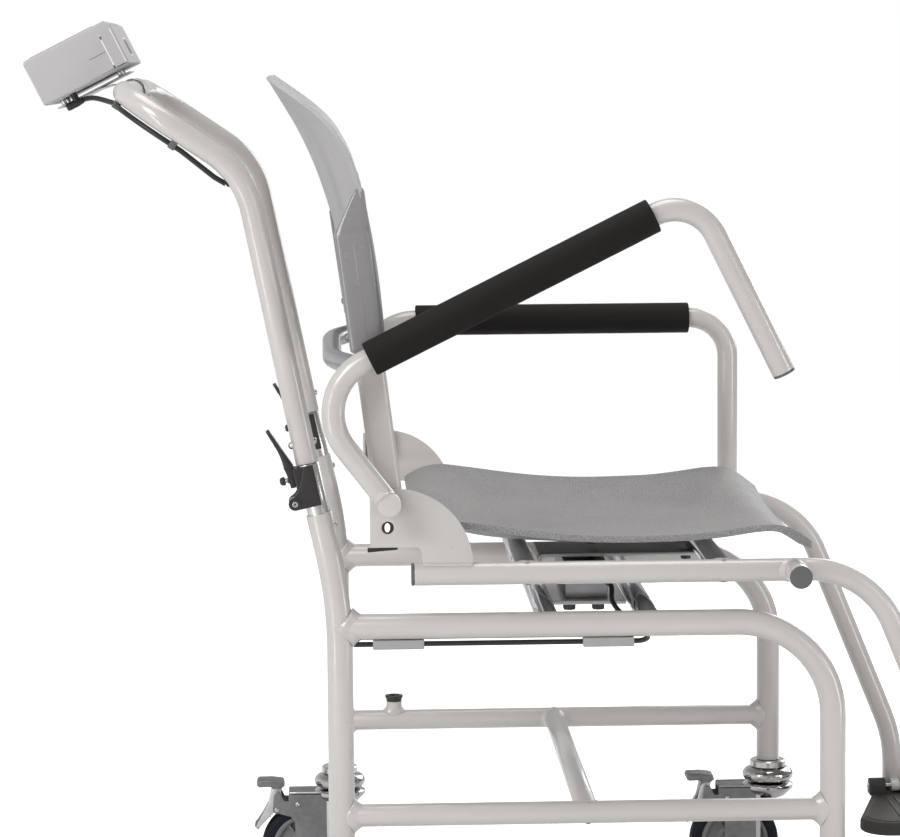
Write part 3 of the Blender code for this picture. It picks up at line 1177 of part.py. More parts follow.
def case_frame():
    """The indicator's own frame: X forward along its tilted length, Z out of its display, Y across."""
    return Matrix.Translation((CASE_REAR_PLACE, 0.0, CASE_REAR_HEIGHT)) @ Matrix.Rotation(-CASE_TILT, 4, "Y")


def indicator(pivot):
    """Housing with chamfered front, sunk front panel, bracket strap round the handle, and cable gland."""
    frame = case_frame()
    length = CASE_LENGTH
    height = CASE_HEIGHT
    chamfer = CASE_CHAMFER
    outline = [(0.0, CASE_EDGE), (CASE_EDGE, 0.0), (length - CASE_EDGE, 0.0), (length, CASE_EDGE),
               (length, height - chamfer * 2), (length - chamfer, height), (CASE_EDGE, height),
               (0.0, height - CASE_EDGE)]
    mesh = outline_mesh("indicator_case", outline, CASE_HALF_WIDTH * 2)
    mesh.transform(frame)
    case = add_mesh("indicator_case", mesh, pivot)
    panel_low = (PANEL_INSET, PANEL_INSET - CASE_HALF_WIDTH, height - PANEL_THICKNESS)
    panel_high = (length - chamfer - PANEL_INSET, CASE_HALF_WIDTH - PANEL_INSET, height + PANEL_PROUD)
    gap = Vector((FIT, FIT, FIT))
    recess = box_mesh("indicator_recess", Vector(panel_low) - gap, Vector(panel_high) + gap)
    recess.transform(frame)
    cut(case, recess)
    panel = box_mesh("indicator_panel", panel_low, panel_high)
    panel.transform(frame)
    add_mesh("indicator_panel", panel, pivot)
    gland_x = GLAND_PLACE_SHARE * length
    gland = cylinder_mesh("indicator_gland", GLAND_DIAMETER / 2, (gland_x, GLAND_SIDE, OVERRUN),
                          (gland_x, GLAND_SIDE, -GLAND_HEIGHT), SMALL_ROUND, end_radius=GLAND_DIAMETER / 3)
    gland.transform(frame)
    joined(case, gland)

    inner = HANDLE_TUBE / 2 + FIT
    outer = inner + BRACKET_SHEET
    centre = frame.inverted() @ Vector((HANDLE_TOP_PLACE, 0.0, HANDLE_TOP_HEIGHT))
    hub = (centre.x, centre.z)
    plate_top = -FIT
    plate_low = plate_top - BRACKET_SHEET
    rear = BRACKET_REAR_GAP
    outline = [(rear, plate_top), (rear, plate_low)]
    outline += arc(hub, inner, STRAP_START_DEG, STRAP_END_DEG, 12)
    outline += arc(hub, outer, STRAP_END_DEG, STRAP_TOP_DEG, 8)
    outline += [(min(length, hub[0] + outer), plate_low), (min(length, hub[0] + outer), plate_top)]
    mesh = outline_mesh("indicator_bracket", outline, BRACKET_HALF_WIDTH * 2)
    mesh.transform(frame)
    add_mesh("indicator_bracket", mesh, pivot)


def castor_head_heights():
    """Heights of the castor's head, from the nut under the leg down to the fork's ring."""
    nut_top = LEG_END_HEIGHT - FIT
    race_top = nut_top - NUT_HEIGHT - FIT
    race_low = race_top - RACEWAY_HEIGHT
    return nut_top, race_top, race_low, race_low - SWIVEL_GAP


def castor_heads():
    """Nuts under the legs, and below them the fixed chrome races with the kingpins the forks turn on."""
    nut_top, race_top, race_low, ring_top = castor_head_heights()
    nut_low = nut_top - NUT_HEIGHT
    radius = NUT_DIAMETER / 2
    waist = NUT_WAIST / 2
    outer = RACEWAY_DIAMETER / 2
    pin = KINGPIN / 2
    head_top = ring_top - FORK_RING_HEIGHT - FORK_RING_NOSE - SLIDE_FIT
    profile = [(0.0, nut_top), (radius, nut_top), (radius, nut_top - NUT_FLANGE), (waist, nut_low),
               (RACEWAY_TOP_DIAMETER / 2, race_top)]
    bulge = outer - RACEWAY_TOP_DIAMETER / 2
    profile += [(RACEWAY_TOP_DIAMETER / 2 + bulge * math.sin(a),
                 race_low + RACEWAY_BELLY + (RACEWAY_HEIGHT - RACEWAY_BELLY) * math.cos(a))
                for a in np.radians((30.0, 60.0, 90.0))]
    profile += [(outer - RACEWAY_BELLY / 3, race_low + RACEWAY_BELLY / 4), (outer - RACEWAY_BELLY, race_low),
                (pin, race_low), (pin, head_top), (KINGPIN_HEAD / 2, head_top),
                (KINGPIN_HEAD / 2, head_top - KINGPIN_HEAD_HEIGHT), (0.0, head_top - KINGPIN_HEAD_HEIGHT)]
    for axle, x in AXLE_PLACES:
        for label, side in SIDES:
            name = "castor_head_" + axle + "_" + label
            spot = Matrix.Translation((x, side * FRAME_HALF_WIDTH, 0.0))
            add_mesh(name, turned_mesh(name, profile, ROUND, spot))


def fork_outline():
    """Side view of a fork plate: round foot at the axle, straight neck, and a horn that holds the pedal."""
    axle = (-CASTOR_TRAIL, WHEEL_DIAMETER / 2)
    top = castor_head_heights()[3] - FORK_RING_HEIGHT / 3
    boss = (-PEDAL_PIVOT_BEHIND, PEDAL_PIVOT_HEIGHT)
    points = arc(axle, FORK_FOOT_RADIUS, 180.0, 330.0, 6)
    points.append((-FORK_FRONT, FORK_EDGE_FOOT_HEIGHT + FORK_FOOT_RADIUS))
    points.append((-FORK_FRONT, top))
    points.append((-FORK_TOP_REAR, top))
    points.append((-FORK_TOP_REAR, top - FORK_NOTCH))
    points.append((-FORK_TOP_REAR - FORK_NOTCH / 2, top - FORK_NOTCH))
    points.append((-FORK_TOP_REAR - FORK_NOTCH, top + FIT))
    points += arc((boss[0] + FORK_NOTCH / 4, top - FORK_NOTCH / 2), FORK_NOTCH * 0.6, 90.0, 180.0, 3)
    points += arc(boss, FORK_HORN_REACH - PEDAL_PIVOT_BEHIND, 180.0, 290.0, 4)
    points.append((-FORK_REAR - FORK_NOTCH / 2, FORK_HORN_FOOT_HEIGHT + FORK_NOTCH / 3))
    points.append((-FORK_REAR, FORK_HORN_FOOT_HEIGHT - FORK_NOTCH / 2))
    return points


def castor(axle_label, x, label, side):
    """One swivel castor: fork, wheel and brake pedal, each on its own axis."""
    tag = axle_label + "_" + label
    swivel = add_empty("castor_pivot_" + tag, (x, side * FRAME_HALF_WIDTH, 0.0), CHAIR)
    ring_top = castor_head_heights()[3]
    ring_low = ring_top - FORK_RING_HEIGHT
    nose_low = ring_low - FORK_RING_NOSE
    outer = RACEWAY_DIAMETER / 2
    bore = KINGPIN / 2 + SLIDE_FIT
    name = "castor_fork_" + tag
    ring = [(bore, ring_top), (outer - RACEWAY_BELLY / 2, ring_top), (outer, ring_top - FORK_RING_HEIGHT / 3),
            (outer, ring_low), (FORK_NOSE_DIAMETER / 2, nose_low), (bore, nose_low)]
    fork = add_mesh(name, turned_mesh(name, ring, ROUND), swivel)
    side_y = FORK_INNER_HALF + FORK_SHEET / 2
    axle = Vector((-CASTOR_TRAIL, 0.0, WHEEL_DIAMETER / 2))
    outer_y = FORK_INNER_HALF + FORK_SHEET
    plate_top = ring_top - FORK_RING_HEIGHT / 3
    top_low = (-FORK_TOP_REAR, -outer_y, plate_top - FORK_TOP_SHEET)
    plate = box_mesh(name + "_top", top_low, (0.0, outer_y, plate_top))
    cut_bore = cylinder_mesh(name + "_bore", bore, (0, 0, nose_low - OVERRUN), (0, 0, ring_top + OVERRUN), ROUND)
    joined(fork, plate)
    for hand in (-1, 1):
        joined(fork, outline_mesh(name + "_side", fork_outline(), FORK_SHEET, hand * side_y))
    pin = Vector((-PEDAL_PIVOT_BEHIND, 0.0, PEDAL_PIVOT_HEIGHT))
    reach = Vector((0.0, outer_y, 0.0))
    head = Vector((0.0, AXLE_HEAD_HEIGHT, 0.0))
    joined(fork, cylinder_mesh(name + "_axle", AXLE / 2, axle - reach, axle + reach, 12))
    joined(fork, cylinder_mesh(name + "_pin", PEDAL_PIN / 2, pin - reach, pin + reach, 10))
    for hand in (-1, 1):
        face = axle + (reach - head / 4) * hand
        joined(fork, cylinder_mesh(name + "_axle_head", AXLE_HEAD / 2, face, face + head * hand, 8))
    cut(fork, cut_bore)

    name = "castor_wheel_" + tag
    hub = add_empty("castor_axle_" + tag, axle, swivel)
    radius = WHEEL_DIAMETER / 2
    half = WHEEL_WIDTH / 2
    inner = AXLE / 2 + FIT
    flank = [(inner, HUB_LENGTH / 2), (HUB_DIAMETER / 2, HUB_LENGTH / 2), (HUB_DIAMETER / 2, WEB_HALF),
             (TYRE_INNER_RADIUS, WEB_HALF), (TYRE_INNER_RADIUS, half), (radius - TYRE_SHOULDER, half),
             (radius, half - TYRE_SHOULDER * 1.5)]
    profile = flank + [(r, -w) for r, w in reversed(flank)]
    add_mesh(name, turned_mesh(name, profile, WHEEL_ROUND, Matrix.Rotation(math.pi / 2, 4, "X")), hub)

    name = "brake_pedal_" + tag
    hinge = add_empty("pedal_pivot_" + tag, pin, swivel)
    shoe = math.radians(SHOE_DEG)
    boss = PEDAL_BOSS
    outline = arc((0.0, 0.0), boss, -20.0, 60.0, 3)
    outline += [(-boss / 4, PEDAL_TREAD_LOW - PEDAL_ARM), (PEDAL_TREAD_FRONT, PEDAL_TREAD_LOW),
                (PEDAL_TREAD_FRONT, PEDAL_TREAD_TOP - PEDAL_ARM / 5),
                (PEDAL_TREAD_FRONT - PEDAL_ARM / 2, PEDAL_TREAD_TOP),
                (-PEDAL_TREAD_REAR + PEDAL_ARM / 2, PEDAL_TREAD_TOP),
                (-PEDAL_TREAD_REAR, PEDAL_TREAD_TOP - PEDAL_ARM / 2),
                (-PEDAL_TREAD_REAR + PEDAL_ARM / 2, PEDAL_TREAD_LOW + PEDAL_ARM / 4),
                (-boss / 4 - PEDAL_ARM, PEDAL_TREAD_LOW - PEDAL_ARM)]
    heel = Vector((-PEDAL_HEEL_BEHIND, -PEDAL_HEEL_BELOW))
    across = Vector((-heel.y, heel.x)).normalized() * PEDAL_HEEL_THICKNESS / 2
    outline += [(-boss - PEDAL_ARM, boss), tuple(heel - across), tuple(heel + across), (-boss * 0.8, -boss * 0.6)]
    outline += [(SHOE_REACH * math.cos(shoe), SHOE_REACH * math.sin(shoe))]
    hole = circle(0.0, 0.0, PEDAL_PIN / 2 + FIT, 10)
    add_mesh(name, outline_mesh(name, outline, PEDAL_HALF * 2, 0.0, (hole,)), hinge)


def frame_cable():
    """The load cell's lead: out of the cell, under the right rail in two clips, and up to the rear post."""
    y = -FRAME_HALF_WIDTH
    height = TOP_RAIL_HEIGHT - FRAME_TUBE / 2 - CORD_BELOW_RAIL
    cell_end = CELL_LENGTH / 2
    cell_middle = (CELL_LOWER + CELL_UPPER) / 2
    route = [(CELL_PLACE, -cell_end - FIT, cell_middle)]
    route += [(CELL_PLACE + ahead, -cell_end - out, cell_middle - below) for ahead, out, below in CELL_CORD_ROUTE]
    route += [(CELL_PLACE + ahead, y + inward, height + above) for ahead, inward, above in RAIL_CORD_ROUTE]
    route.append((FRAME_CLIP_FRONT_PLACE + FRAME_CLIP_LENGTH, y, height))
    places = (FRAME_CLIP_FRONT_PLACE, FRAME_CLIP_REAR_PLACE, FRAME_TUBE / 2 + CORD_END_GAP)
    straight = [(x, y, height) for x in places]
    points = evenly(smooth_through(route, 8), CORD_STEP) + straight
    add_mesh("load_cell_cable", tube_mesh("load_cell_cable", points, CORD / 2, CORD_SIDES_RESOLUTION))
    for label, start in (("rear", FRAME_CLIP_REAR_PLACE), ("front", FRAME_CLIP_FRONT_PLACE)):
        name = "rail_clip_" + label
        end = start + FRAME_CLIP_LENGTH
        low = (start, y - FRAME_CLIP_WIDTH / 2, height - CORD / 2 - CLIP_WALL)
        high = (end, y + FRAME_CLIP_WIDTH / 2, height - CORD / 2 - CLIP_WALL + FRAME_CLIP_HEIGHT)
        clip = add_mesh(name, box_mesh(name, low, high))
        cut(clip, cylinder_mesh(name + "_tube", FRAME_TUBE / 2 + FIT, (start - OVERRUN, y, TOP_RAIL_HEIGHT),
                                (end + OVERRUN, y, TOP_RAIL_HEIGHT)))
        cut(clip, cylinder_mesh(name + "_channel", CORD / 2 + FIT, (start - OVERRUN, y, height),
                                (end + OVERRUN, y, height), SMALL_ROUND))


def handle_cable(pivot):
    """The indicator's lead: a loop from its gland to the handle, then under the tube in two clips to a grommet."""
    y = -FRAME_HALF_WIDTH
    knee = Vector((HANDLE_KNEE_PLACE, y, HANDLE_KNEE_HEIGHT))
    corner = Vector((HANDLE_TOP_PLACE, y, HANDLE_TOP_HEIGHT))
    down = (knee - corner).normalized()
    under = Vector((down.z, 0.0, -down.x))
    tube = HANDLE_TUBE / 2
    offset = under * (tube + CORD_BELOW_TUBE)
    cross_side = y + CROSS_CLIP_INWARD
    cross_start = Vector((corner.x, cross_side + CLIP_LENGTH / 2 + OVERRUN, corner.z))
    straight_end = corner + down * SLOPE_CLIP_DISTANCE
    bend = bent_path([cross_start, corner, straight_end + down * CLIP_LENGTH], [HANDLE_CORNER_BEND])
    along_tube = [tuple(p + offset) for p in bend]

    frame = case_frame()
    gland_x = GLAND_PLACE_SHARE * CASE_LENGTH
    gland = frame @ Vector((gland_x, GLAND_SIDE, -GLAND_HEIGHT - FIT))
    lead = frame @ Vector((gland_x, GLAND_SIDE, -GLAND_HEIGHT - LOOP_DROP))
    low = Vector((lead.x + LOOP_SWING, (GLAND_SIDE + cross_start.y) / 2, along_tube[0][2] - LOOP_SAG))
    ahead = Vector(along_tube[0]) + Vector((0.0, LOOP_DROP, 0.0))
    loop = smooth_through([lead, low, ahead, along_tube[0]], 6)

    lean_down = (lean_point(0.0, HANDLE_END, y) - knee).normalized()
    setback = HANDLE_KNEE_BEND * math.tan(down.angle(lean_down) / 2)
    centre = corner + down * ((knee - corner).length - setback) + under * HANDLE_KNEE_BEND
    turn = math.radians(GROMMET_TURN_DEG)
    inward = under * math.cos(turn) - down * math.sin(turn)
    onward = down * math.cos(turn) + under * math.sin(turn)
    grommet_foot = centre - inward * (HANDLE_KNEE_BEND - tube)
    grommet_tip = grommet_foot + inward * GROMMET_HEIGHT
    tail_end = grommet_tip + inward * FIT
    half_turn = turn / 2
    beside = centre - (under * math.cos(half_turn) - down * math.sin(half_turn)) * (
        HANDLE_KNEE_BEND - tube - CORD_BELOW_TUBE)
    straight = tail_end + inward * CORD
    tail = smooth_through([along_tube[-1], beside, straight + (inward - onward) * CORD, straight], 6)
    route = [tuple(gland)] + evenly(loop, CORD_STEP) + along_tube[1:] + evenly(tail, CORD_STEP / 2)[1:]
    route.append(tuple(tail_end))
    add_mesh("indicator_cable", tube_mesh("indicator_cable", route, CORD / 2, CORD_SIDES_RESOLUTION), pivot)
    name = "cable_grommet"
    seat = grommet_foot + inward * GROMMET_SEAT
    add_mesh(name, cylinder_mesh(name, GROMMET_DIAMETER / 2, seat, grommet_tip, 12), pivot)

    cross = corner + Vector((0.0, CROSS_CLIP_INWARD, 0.0))
    for label, middle, along in (("upper", cross, Vector((0.0, 1.0, 0.0))), ("lower", straight_end, down)):
        name = "handle_clip_" + label
        across = along.cross(under)
        turn = Matrix((across, along, under)).transposed().to_4x4()
        half = CLIP_LENGTH / 2
        width = CORD / 2 + CLIP_WALL
        low_z = tube - CLIP_WALL
        mesh = box_mesh(name, (-width, -half, low_z), (width, half, tube + CORD_BELOW_TUBE + width))
        mesh.transform(Matrix.Translation(middle) @ turn)
        clip = add_mesh(name, mesh, pivot)
        reach = along * (half + OVERRUN)
        cut(clip, cylinder_mesh(name + "_tube", tube + FIT, middle - reach, middle + reach))
        cut(clip, cylinder_mesh(name + "_channel", CORD / 2 + FIT, middle + offset - reach, middle + offset + reach,
                                SMALL_ROUND))


def main():
    for label, side in SIDES:
        side_frame(label, side)
        carriage_side(label, side)
        arm_parts(label, side)
        footplate(label, side)
    castor_heads()
    for axle_label, x in AXLE_PLACES:
        for label, side in SIDES:
            castor(axle_label, x, label, side)
    frame_cable()
    base_cross_tubes()
    carriage_cross_tubes()
    end_caps()
    seat_shell()
    load_path()
    back_posts()
    back_shell()
    back_bow()
    hinge_spigots()
    handle_pivot = add_empty("handle_pivot", CLAMP_PIN_POINT, CHAIR, pivot=True)
    handle = add_mesh("push_handle", tube_mesh("push_handle", handle_path(), HANDLE_TUBE / 2), handle_pivot)
    for label, side in SIDES:
        clamp_body(label, side, handle_pivot)
        clamp_lever(label, side, handle_pivot)
    indicator(handle_pivot)
    handle_cable(handle_pivot)


main()
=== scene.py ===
"""Looks of the digital chair scale: painted tubes with weld beads, grained seat and back, foam sleeves,
zinc castors, black clamps and the tilted weight indicator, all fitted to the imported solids.

Metres; +X the way the sitter faces, +Y the sitter's left, +Z up. X is given from the rear posts.
"""
import math

import bmesh
import bpy
import numpy as np
from mathutils import Matrix, Vector


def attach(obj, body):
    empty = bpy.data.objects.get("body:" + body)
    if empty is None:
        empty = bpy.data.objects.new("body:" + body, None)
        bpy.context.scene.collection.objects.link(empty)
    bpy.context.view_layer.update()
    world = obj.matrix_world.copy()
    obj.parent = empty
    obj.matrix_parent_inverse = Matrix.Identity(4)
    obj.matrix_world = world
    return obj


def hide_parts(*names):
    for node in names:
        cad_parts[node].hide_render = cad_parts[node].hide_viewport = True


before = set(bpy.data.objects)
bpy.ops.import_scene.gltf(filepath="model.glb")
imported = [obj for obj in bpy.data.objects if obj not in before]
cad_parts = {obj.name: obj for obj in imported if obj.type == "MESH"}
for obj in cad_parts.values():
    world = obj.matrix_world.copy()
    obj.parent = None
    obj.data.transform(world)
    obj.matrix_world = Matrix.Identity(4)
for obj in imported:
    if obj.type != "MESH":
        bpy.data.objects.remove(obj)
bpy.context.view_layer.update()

# Where the rear posts stand along X
POST_X = -0.2157015

# Tubes of the base and the seat carriage
TUBE = 0.0254
SLIM_TUBE = 0.0222
SLIM = SLIM_TUBE / 2
FRAME_Y = 0.240
RAIL_Y = 0.257
RAIL_Z = 0.4335
TOP_RAIL_Z = 0.3798
LOWER_RAIL_Z = 0.193
LEG_END_Z = 0.1424
BASE_LENGTH = 0.4828
SOCKET_X = 0.0617
POST_LEAN = math.radians(12.3)
POST_BEND_Z = 0.358
POST_BEND = 0.435
POST_TOP_Z = 0.4924
RAIL_START_X = 0.0725
RAIL_KNEE_X = 0.5158
LEG_REST_LEAN = math.radians(22.2)
PEG_X = 0.4413
PEG_REACH = 0.050
FAN_Y = 0.2618
STOP_HOLE = (0.0472, 0.480)
HINGE = (0.627, 0.236, 0.1098)
FOOT_TOP_Z = 0.1033

# Armrests, back, seat
PIVOT = (0.0485, 0.506)
ARM_Y = 0.285
ARM_STUB_Y = 0.2641
ARM_RAISED = {"left": 0.0, "right": math.radians(26.4)}
ARM_LEAN = math.radians(11.0)
ARM_HEIGHT = 0.1325
ARM_LENGTH = 0.3935
FOAM_RADIUS = 0.01695
BACK_LEAN = math.radians(7.2)
BACK_POST_Y = 0.252
BACK_FOOT_Z = 0.650
SLEEVE_TOP_Z = 0.771
SLEEVE_HALF = 0.01725
BOW_Z = 0.632
SEAT_START_X = 0.075
SEAT_DEPTH = 0.390

# Handle, clamps, indicator and the two cables
HANDLE_END = 0.0498
HANDLE_TOP = (-0.203, 0.8990)
HANDLE_KNEE = (-0.0868, 0.8205)
HANDLE_BENDS = (0.090, 0.058)
CLAMP_PIN = (-0.0199, 0.015)
BOLT_HEIGHT = 0.0377
CASE_TILT = math.radians(26.6)
CASE_CORNER = (-0.2870, 0.8850)
CASE_LENGTH = 0.0955
CASE_HEIGHT = 0.049
CASE_HALF = 0.105
RECESS_Z = 0.0185
STRAP_SHEET_LOW = -0.0066
WINDOW_X = 0.057
WINDOW_Y = 0.018
PLUG_Y = -0.070
PLUG_DROP = -0.0104
CORD = 0.0026
CORD_Z = TOP_RAIL_Z - TUBE / 2 - 0.0045
CLIP_STARTS = (0.032, 0.237)

# Castors
RACE_TOP_Z = 0.1336
CASTOR_TRAIL = 0.0385
AXLE_Z = 0.050
PEDAL_PIVOT = (-0.071, 0.0956)
SPOKES = 5
FIRST_SPOKE = 0.3

ALONG, ACROSS, UP = np.eye(3)
HANDS = (-1, 1)
SIDES = (("left", 1), ("right", -1))
CASTORS = (("rear", 0.0), ("front", BASE_LENGTH))


# Arithmetic on whole arrays

def mm(*places):
    """Places written in millimetres."""
    return np.array(places, float) / 1000


def unit(vectors):
    """Vectors divided by their own lengths."""
    vectors = np.asarray(vectors, float)
    return vectors / np.linalg.norm(vectors, axis=-1, keepdims=True)


def once_round(steps):
    """Equal angles once round."""
    return np.linspace(0.0, 2 * math.pi, steps, endpoint=False)


def powered(values, power):
    """Values raised to a power with their signs kept."""
    return np.sign(values) * np.abs(values) ** power


def fillet_path(corners, radii, step_deg=5.0):
    """Straight runs with each inner corner swapped for an arc that touches both runs: the arc's centre
    plus cosine times the start spoke plus sine times the spoke turned a quarter in the bend's plane."""
    corners = np.asarray(corners, float)
    runs = [corners[:1]]
    for before, corner, after, radius in zip(corners, corners[1:], corners[2:], radii):
        inward = unit(before - corner)
        onward = unit(after - corner)
        turn = math.pi - math.acos(float(np.clip(inward @ onward, -1, 1)))
        setback = radius * math.tan(turn / 2)
        centre = corner + unit(inward + onward) * radius / math.cos(turn / 2)
        spoke = corner + inward * setback - centre
        normal = unit(np.cross(spoke, corner + onward * setback - centre))
        angle = np.linspace(0.0, turn, max(3, round(math.degrees(turn) / step_deg)) + 1)[:, None]
        runs.append(centre + np.cos(angle) * spoke + np.sin(angle) * np.cross(normal, spoke))
    return np.concatenate([*runs, corners[-1:]])


def hermite(t, start, end, slope_start, slope_end):
    """The cubic blend of two values and of the slopes at both."""
    return ((2 * t ** 3 - 3 * t ** 2 + 1) * start + (t ** 3 - 2 * t ** 2 + t) * slope_start
            + (3 * t ** 2 - 2 * t ** 3) * end + (t ** 3 - t ** 2) * slope_end)


def smooth_curve(knots, steps):
    """A cubic through every knot, with slopes taken from each knot's neighbours."""
    knots = np.asarray(knots, float)
    slopes = np.gradient(knots, axis=0)
    t = np.linspace(0.0, 1.0, steps, endpoint=False)[None, :, None]
    curve = hermite(t, knots[:-1, None], knots[1:, None], slopes[:-1, None], slopes[1:, None])
    return np.concatenate([curve.reshape(-1, knots.shape[1]), knots[-1:]])


def smooth_value(x, places, values):
    """The same cubic for one number that depends on an uneven place."""
    places = np.asarray(places, float)
    values = np.asarray(values, float)
    slopes = np.gradient(values, places)
    i = np.clip(np.searchsorted(places, x, side="right") - 1, 0, len(places) - 2)
    width = places[i + 1] - places[i]
    t = np.clip((x - places[i]) / width, 0.0, 1.0)
    return hermite(t, values[i], values[i + 1], width * slopes[i], width * slopes[i + 1])


def surface(points, wrap_rows=False, wrap_columns=True):
    """A grid of points as one part of a mesh: its places, and quads between neighbours, joined round
    where the grid closes on itself."""
    rows, columns = points.shape[:2]
    i = np.arange(rows if wrap_rows else rows - 1)[:, None]
    j = np.arange(columns if wrap_columns else columns - 1)[None, :]
    i2 = (i + 1) % rows
    j2 = (j + 1) % columns
    quads = np.stack([i * columns + j, i * columns + j2, i2 * columns + j2, i2 * columns + j], axis=-1)
    return points.reshape(-1, 3), quads.reshape(-1, 4).tolist()


# Forms

def carried(path, radius, reference, sides=28, edge=0.0009, mouth=None, swell=0.0):
    """A round tube: at each place of the path a circle of cosine times one cross direction plus sine
    times the other, with its ends closed by a rounded rim. A mouth opens the last end to an inner radius
    and depth."""
    path = np.asarray(path, float)
    runs = unit(np.diff(path, axis=0))
    tangent = unit(np.concatenate([runs[:1], runs[:-1] + runs[1:], runs[-1:]]))
    across = unit(reference - (tangent @ np.asarray(reference, float))[:, None] * tangent)
    beside = np.cross(tangent, across)
    last = len(path) - 1
    rim = edge * 0.3
    index = np.concatenate([[0, 0, 0, 0], np.arange(1, last), [last] * 4])
    shift = np.concatenate([[0, 0, rim, edge], np.zeros(last - 1), [-edge, -rim, 0, 0]])
    size = np.concatenate([[0, radius - edge, radius - rim, radius], np.full(last - 1, radius),
                           [radius, radius - rim, radius - edge, 0]])
    if mouth:
        inner, depth = mouth
        index = np.concatenate([index[:-1], [last] * 3])
        shift = np.concatenate([shift[:-1], [0, -depth, -depth]])
        size = np.concatenate([size[:-1], [inner, inner, 0]])
    if swell:
        length = np.concatenate([[0.0], np.cumsum(np.linalg.norm(np.diff(path, axis=0), axis=1))])[index]
        size = size * (1 + swell * np.sin(length * 260.0) * np.sin(length * 97.0))
    angle = once_round(sides)[None, :, None]
    ring = np.cos(angle) * across[index][:, None] + np.sin(angle) * beside[index][:, None]
    middle = path[index] + tangent[index] * shift[:, None]
    return surface(middle[:, None] + ring * size[:, None, None])


def weld_bead(centre, along, radius, host_along, host_radius, bead=0.0060):
    """A flared fillet where a tube meets a round host. At angle t round the tube the seam lies along the
    tube at the root of host radius squared less sideways reach squared; a hollow-sided diamond, cosine
    and sine to the power 2.3, is carried round it, and it reaches less far out where the host curves
    away."""
    along = unit(along)
    host = unit(np.asarray(host_along, float) - np.dot(host_along, along) * along)
    t = once_round(72)[:, None]
    outward = np.cos(t) * host + np.sin(t) * np.cross(along, host)
    rise = np.sqrt(np.maximum(host_radius ** 2 - (radius * np.sin(t)) ** 2, 0.0))
    seam = np.asarray(centre) + radius * outward + along * rise
    ripple = bead * (1 + 0.035 * np.sin(t * 26))[:, :, None]
    f = once_round(16)[None, :, None]
    reach = (0.16 + 0.70 * np.cos(t) ** 2)[:, :, None] * powered(np.cos(f), 2.3)
    climb = powered(np.sin(f), 2.3)
    return surface(seam[:, None] + ripple * (reach * outward[:, None] + climb * along), wrap_rows=True)


def turned(profile, foot, axis=UP, steps=40):
    """A turned form: each profile place, a radius and a height, is carried round the axis by cosine and
    sine."""
    profile = np.asarray(profile, float)
    axis = unit(axis)
    across = unit(np.cross(axis, UP if abs(axis[2]) < 0.9 else ALONG))
    t = once_round(steps)[None, :, None]
    ring = np.cos(t) * across + np.sin(t) * np.cross(axis, across)
    spine = np.asarray(foot, float) + profile[:, 1][:, None, None] * axis
    return surface(spine + profile[:, 0][:, None, None] * ring)


def softened(profile, radius, step_deg=30.0):
    """A turned profile with its inner corners rounded."""
    flat = np.column_stack([np.asarray(profile, float), np.zeros(len(profile))])
    return fillet_path(flat, [radius] * (len(profile) - 2), step_deg)[:, :2]


def rod(radius, low, high, soft=None):
    """The profile of a plain round rod between two heights, its rims rounded where a radius is given."""
    profile = [(0, low), (radius, low), (radius, high), (0, high)]
    return softened(profile, soft) if soft else profile


def slab(outline, thickness, matrix, bevel=0.0008, holes=()):
    """A flat plate in its own XY plane: the filled outline with rounded edges, then set in place by a
    matrix."""
    curve = bpy.data.curves.new("slab", "CURVE")
    curve.dimensions = "2D"
    curve.fill_mode = "BOTH"
    curve.extrude = thickness / 2 - bevel
    curve.bevel_depth = bevel
    curve.bevel_resolution = 2
    curve.offset = -bevel
    for loop in (outline, *holes):
        loop = np.asarray(loop, float)
        spline = curve.splines.new("POLY")
        spline.points.add(len(loop) - 1)
        flat = np.column_stack([loop, np.zeros(len(loop)), np.ones(len(loop))])
        spline.points.foreach_set("co", flat.ravel())
        spline.use_cyclic_u = True
    holder = bpy.data.objects.new("slab", curve)
    bpy.context.scene.collection.objects.link(holder)
    bpy.context.view_layer.update()
    mesh = bpy.data.meshes.new_from_object(holder.evaluated_get(bpy.context.evaluated_depsgraph_get()))
    bpy.data.objects.remove(holder, do_unlink=True)
    bpy.data.curves.remove(curve)
    mesh.transform(matrix)
    points = np.empty(len(mesh.vertices) * 3)
    mesh.vertices.foreach_get("co", points)
    faces = [tuple(polygon.vertices) for polygon in mesh.polygons]
    bpy.data.meshes.remove(mesh)
    return points.reshape(-1, 3), faces


def upright(y=0.0):
    """Sets a plate drawn in XY upright in the chair's XZ plane at a distance across."""
    return Matrix.Translation((0.0, y, 0.0)) @ Matrix.Rotation(math.pi / 2, 4, "X")


def standing(outline, thickness, y=0.0, bevel=0.0008, holes=()):
    """A plate that stands in the chair's XZ plane."""
    return slab(outline, thickness, upright(y), bevel, holes)


def arc(centre, radius, start_deg, end_deg, steps):
    """Points of a plane arc from cosine and sine, both ends included."""
    t = np.radians(np.linspace(start_deg, end_deg, steps + 1))
    return np.column_stack([centre[0] + radius * np.cos(t), centre[1] + radius * np.sin(t)])


def rounded_rectangle(width, height, radius, steps=4, centre=(0.0, 0.0)):
    """Four quarter arcs, one at each corner."""
    x, y = width / 2 - radius, height / 2 - radius
    corners = ((x, y, 0), (-x, y, 90), (-x, -y, 180), (x, -y, 270))
    return np.concatenate([arc((centre[0] + cx, centre[1] + cy), radius, a, a + 90, steps)
                           for cx, cy, a in corners])


def block(low, high, bevel=0.0008, corner=None):
    """A moulded block: a rounded rectangle in plan with rounded edges all round."""
    low, high = np.minimum(low, high), np.maximum(low, high)
    size, middle = high - low, (low + high) / 2
    radius = bevel * 1.5 if corner is None else corner
    return slab(rounded_rectangle(size[0], size[1], radius), size[2], Matrix.Translation(middle), bevel)


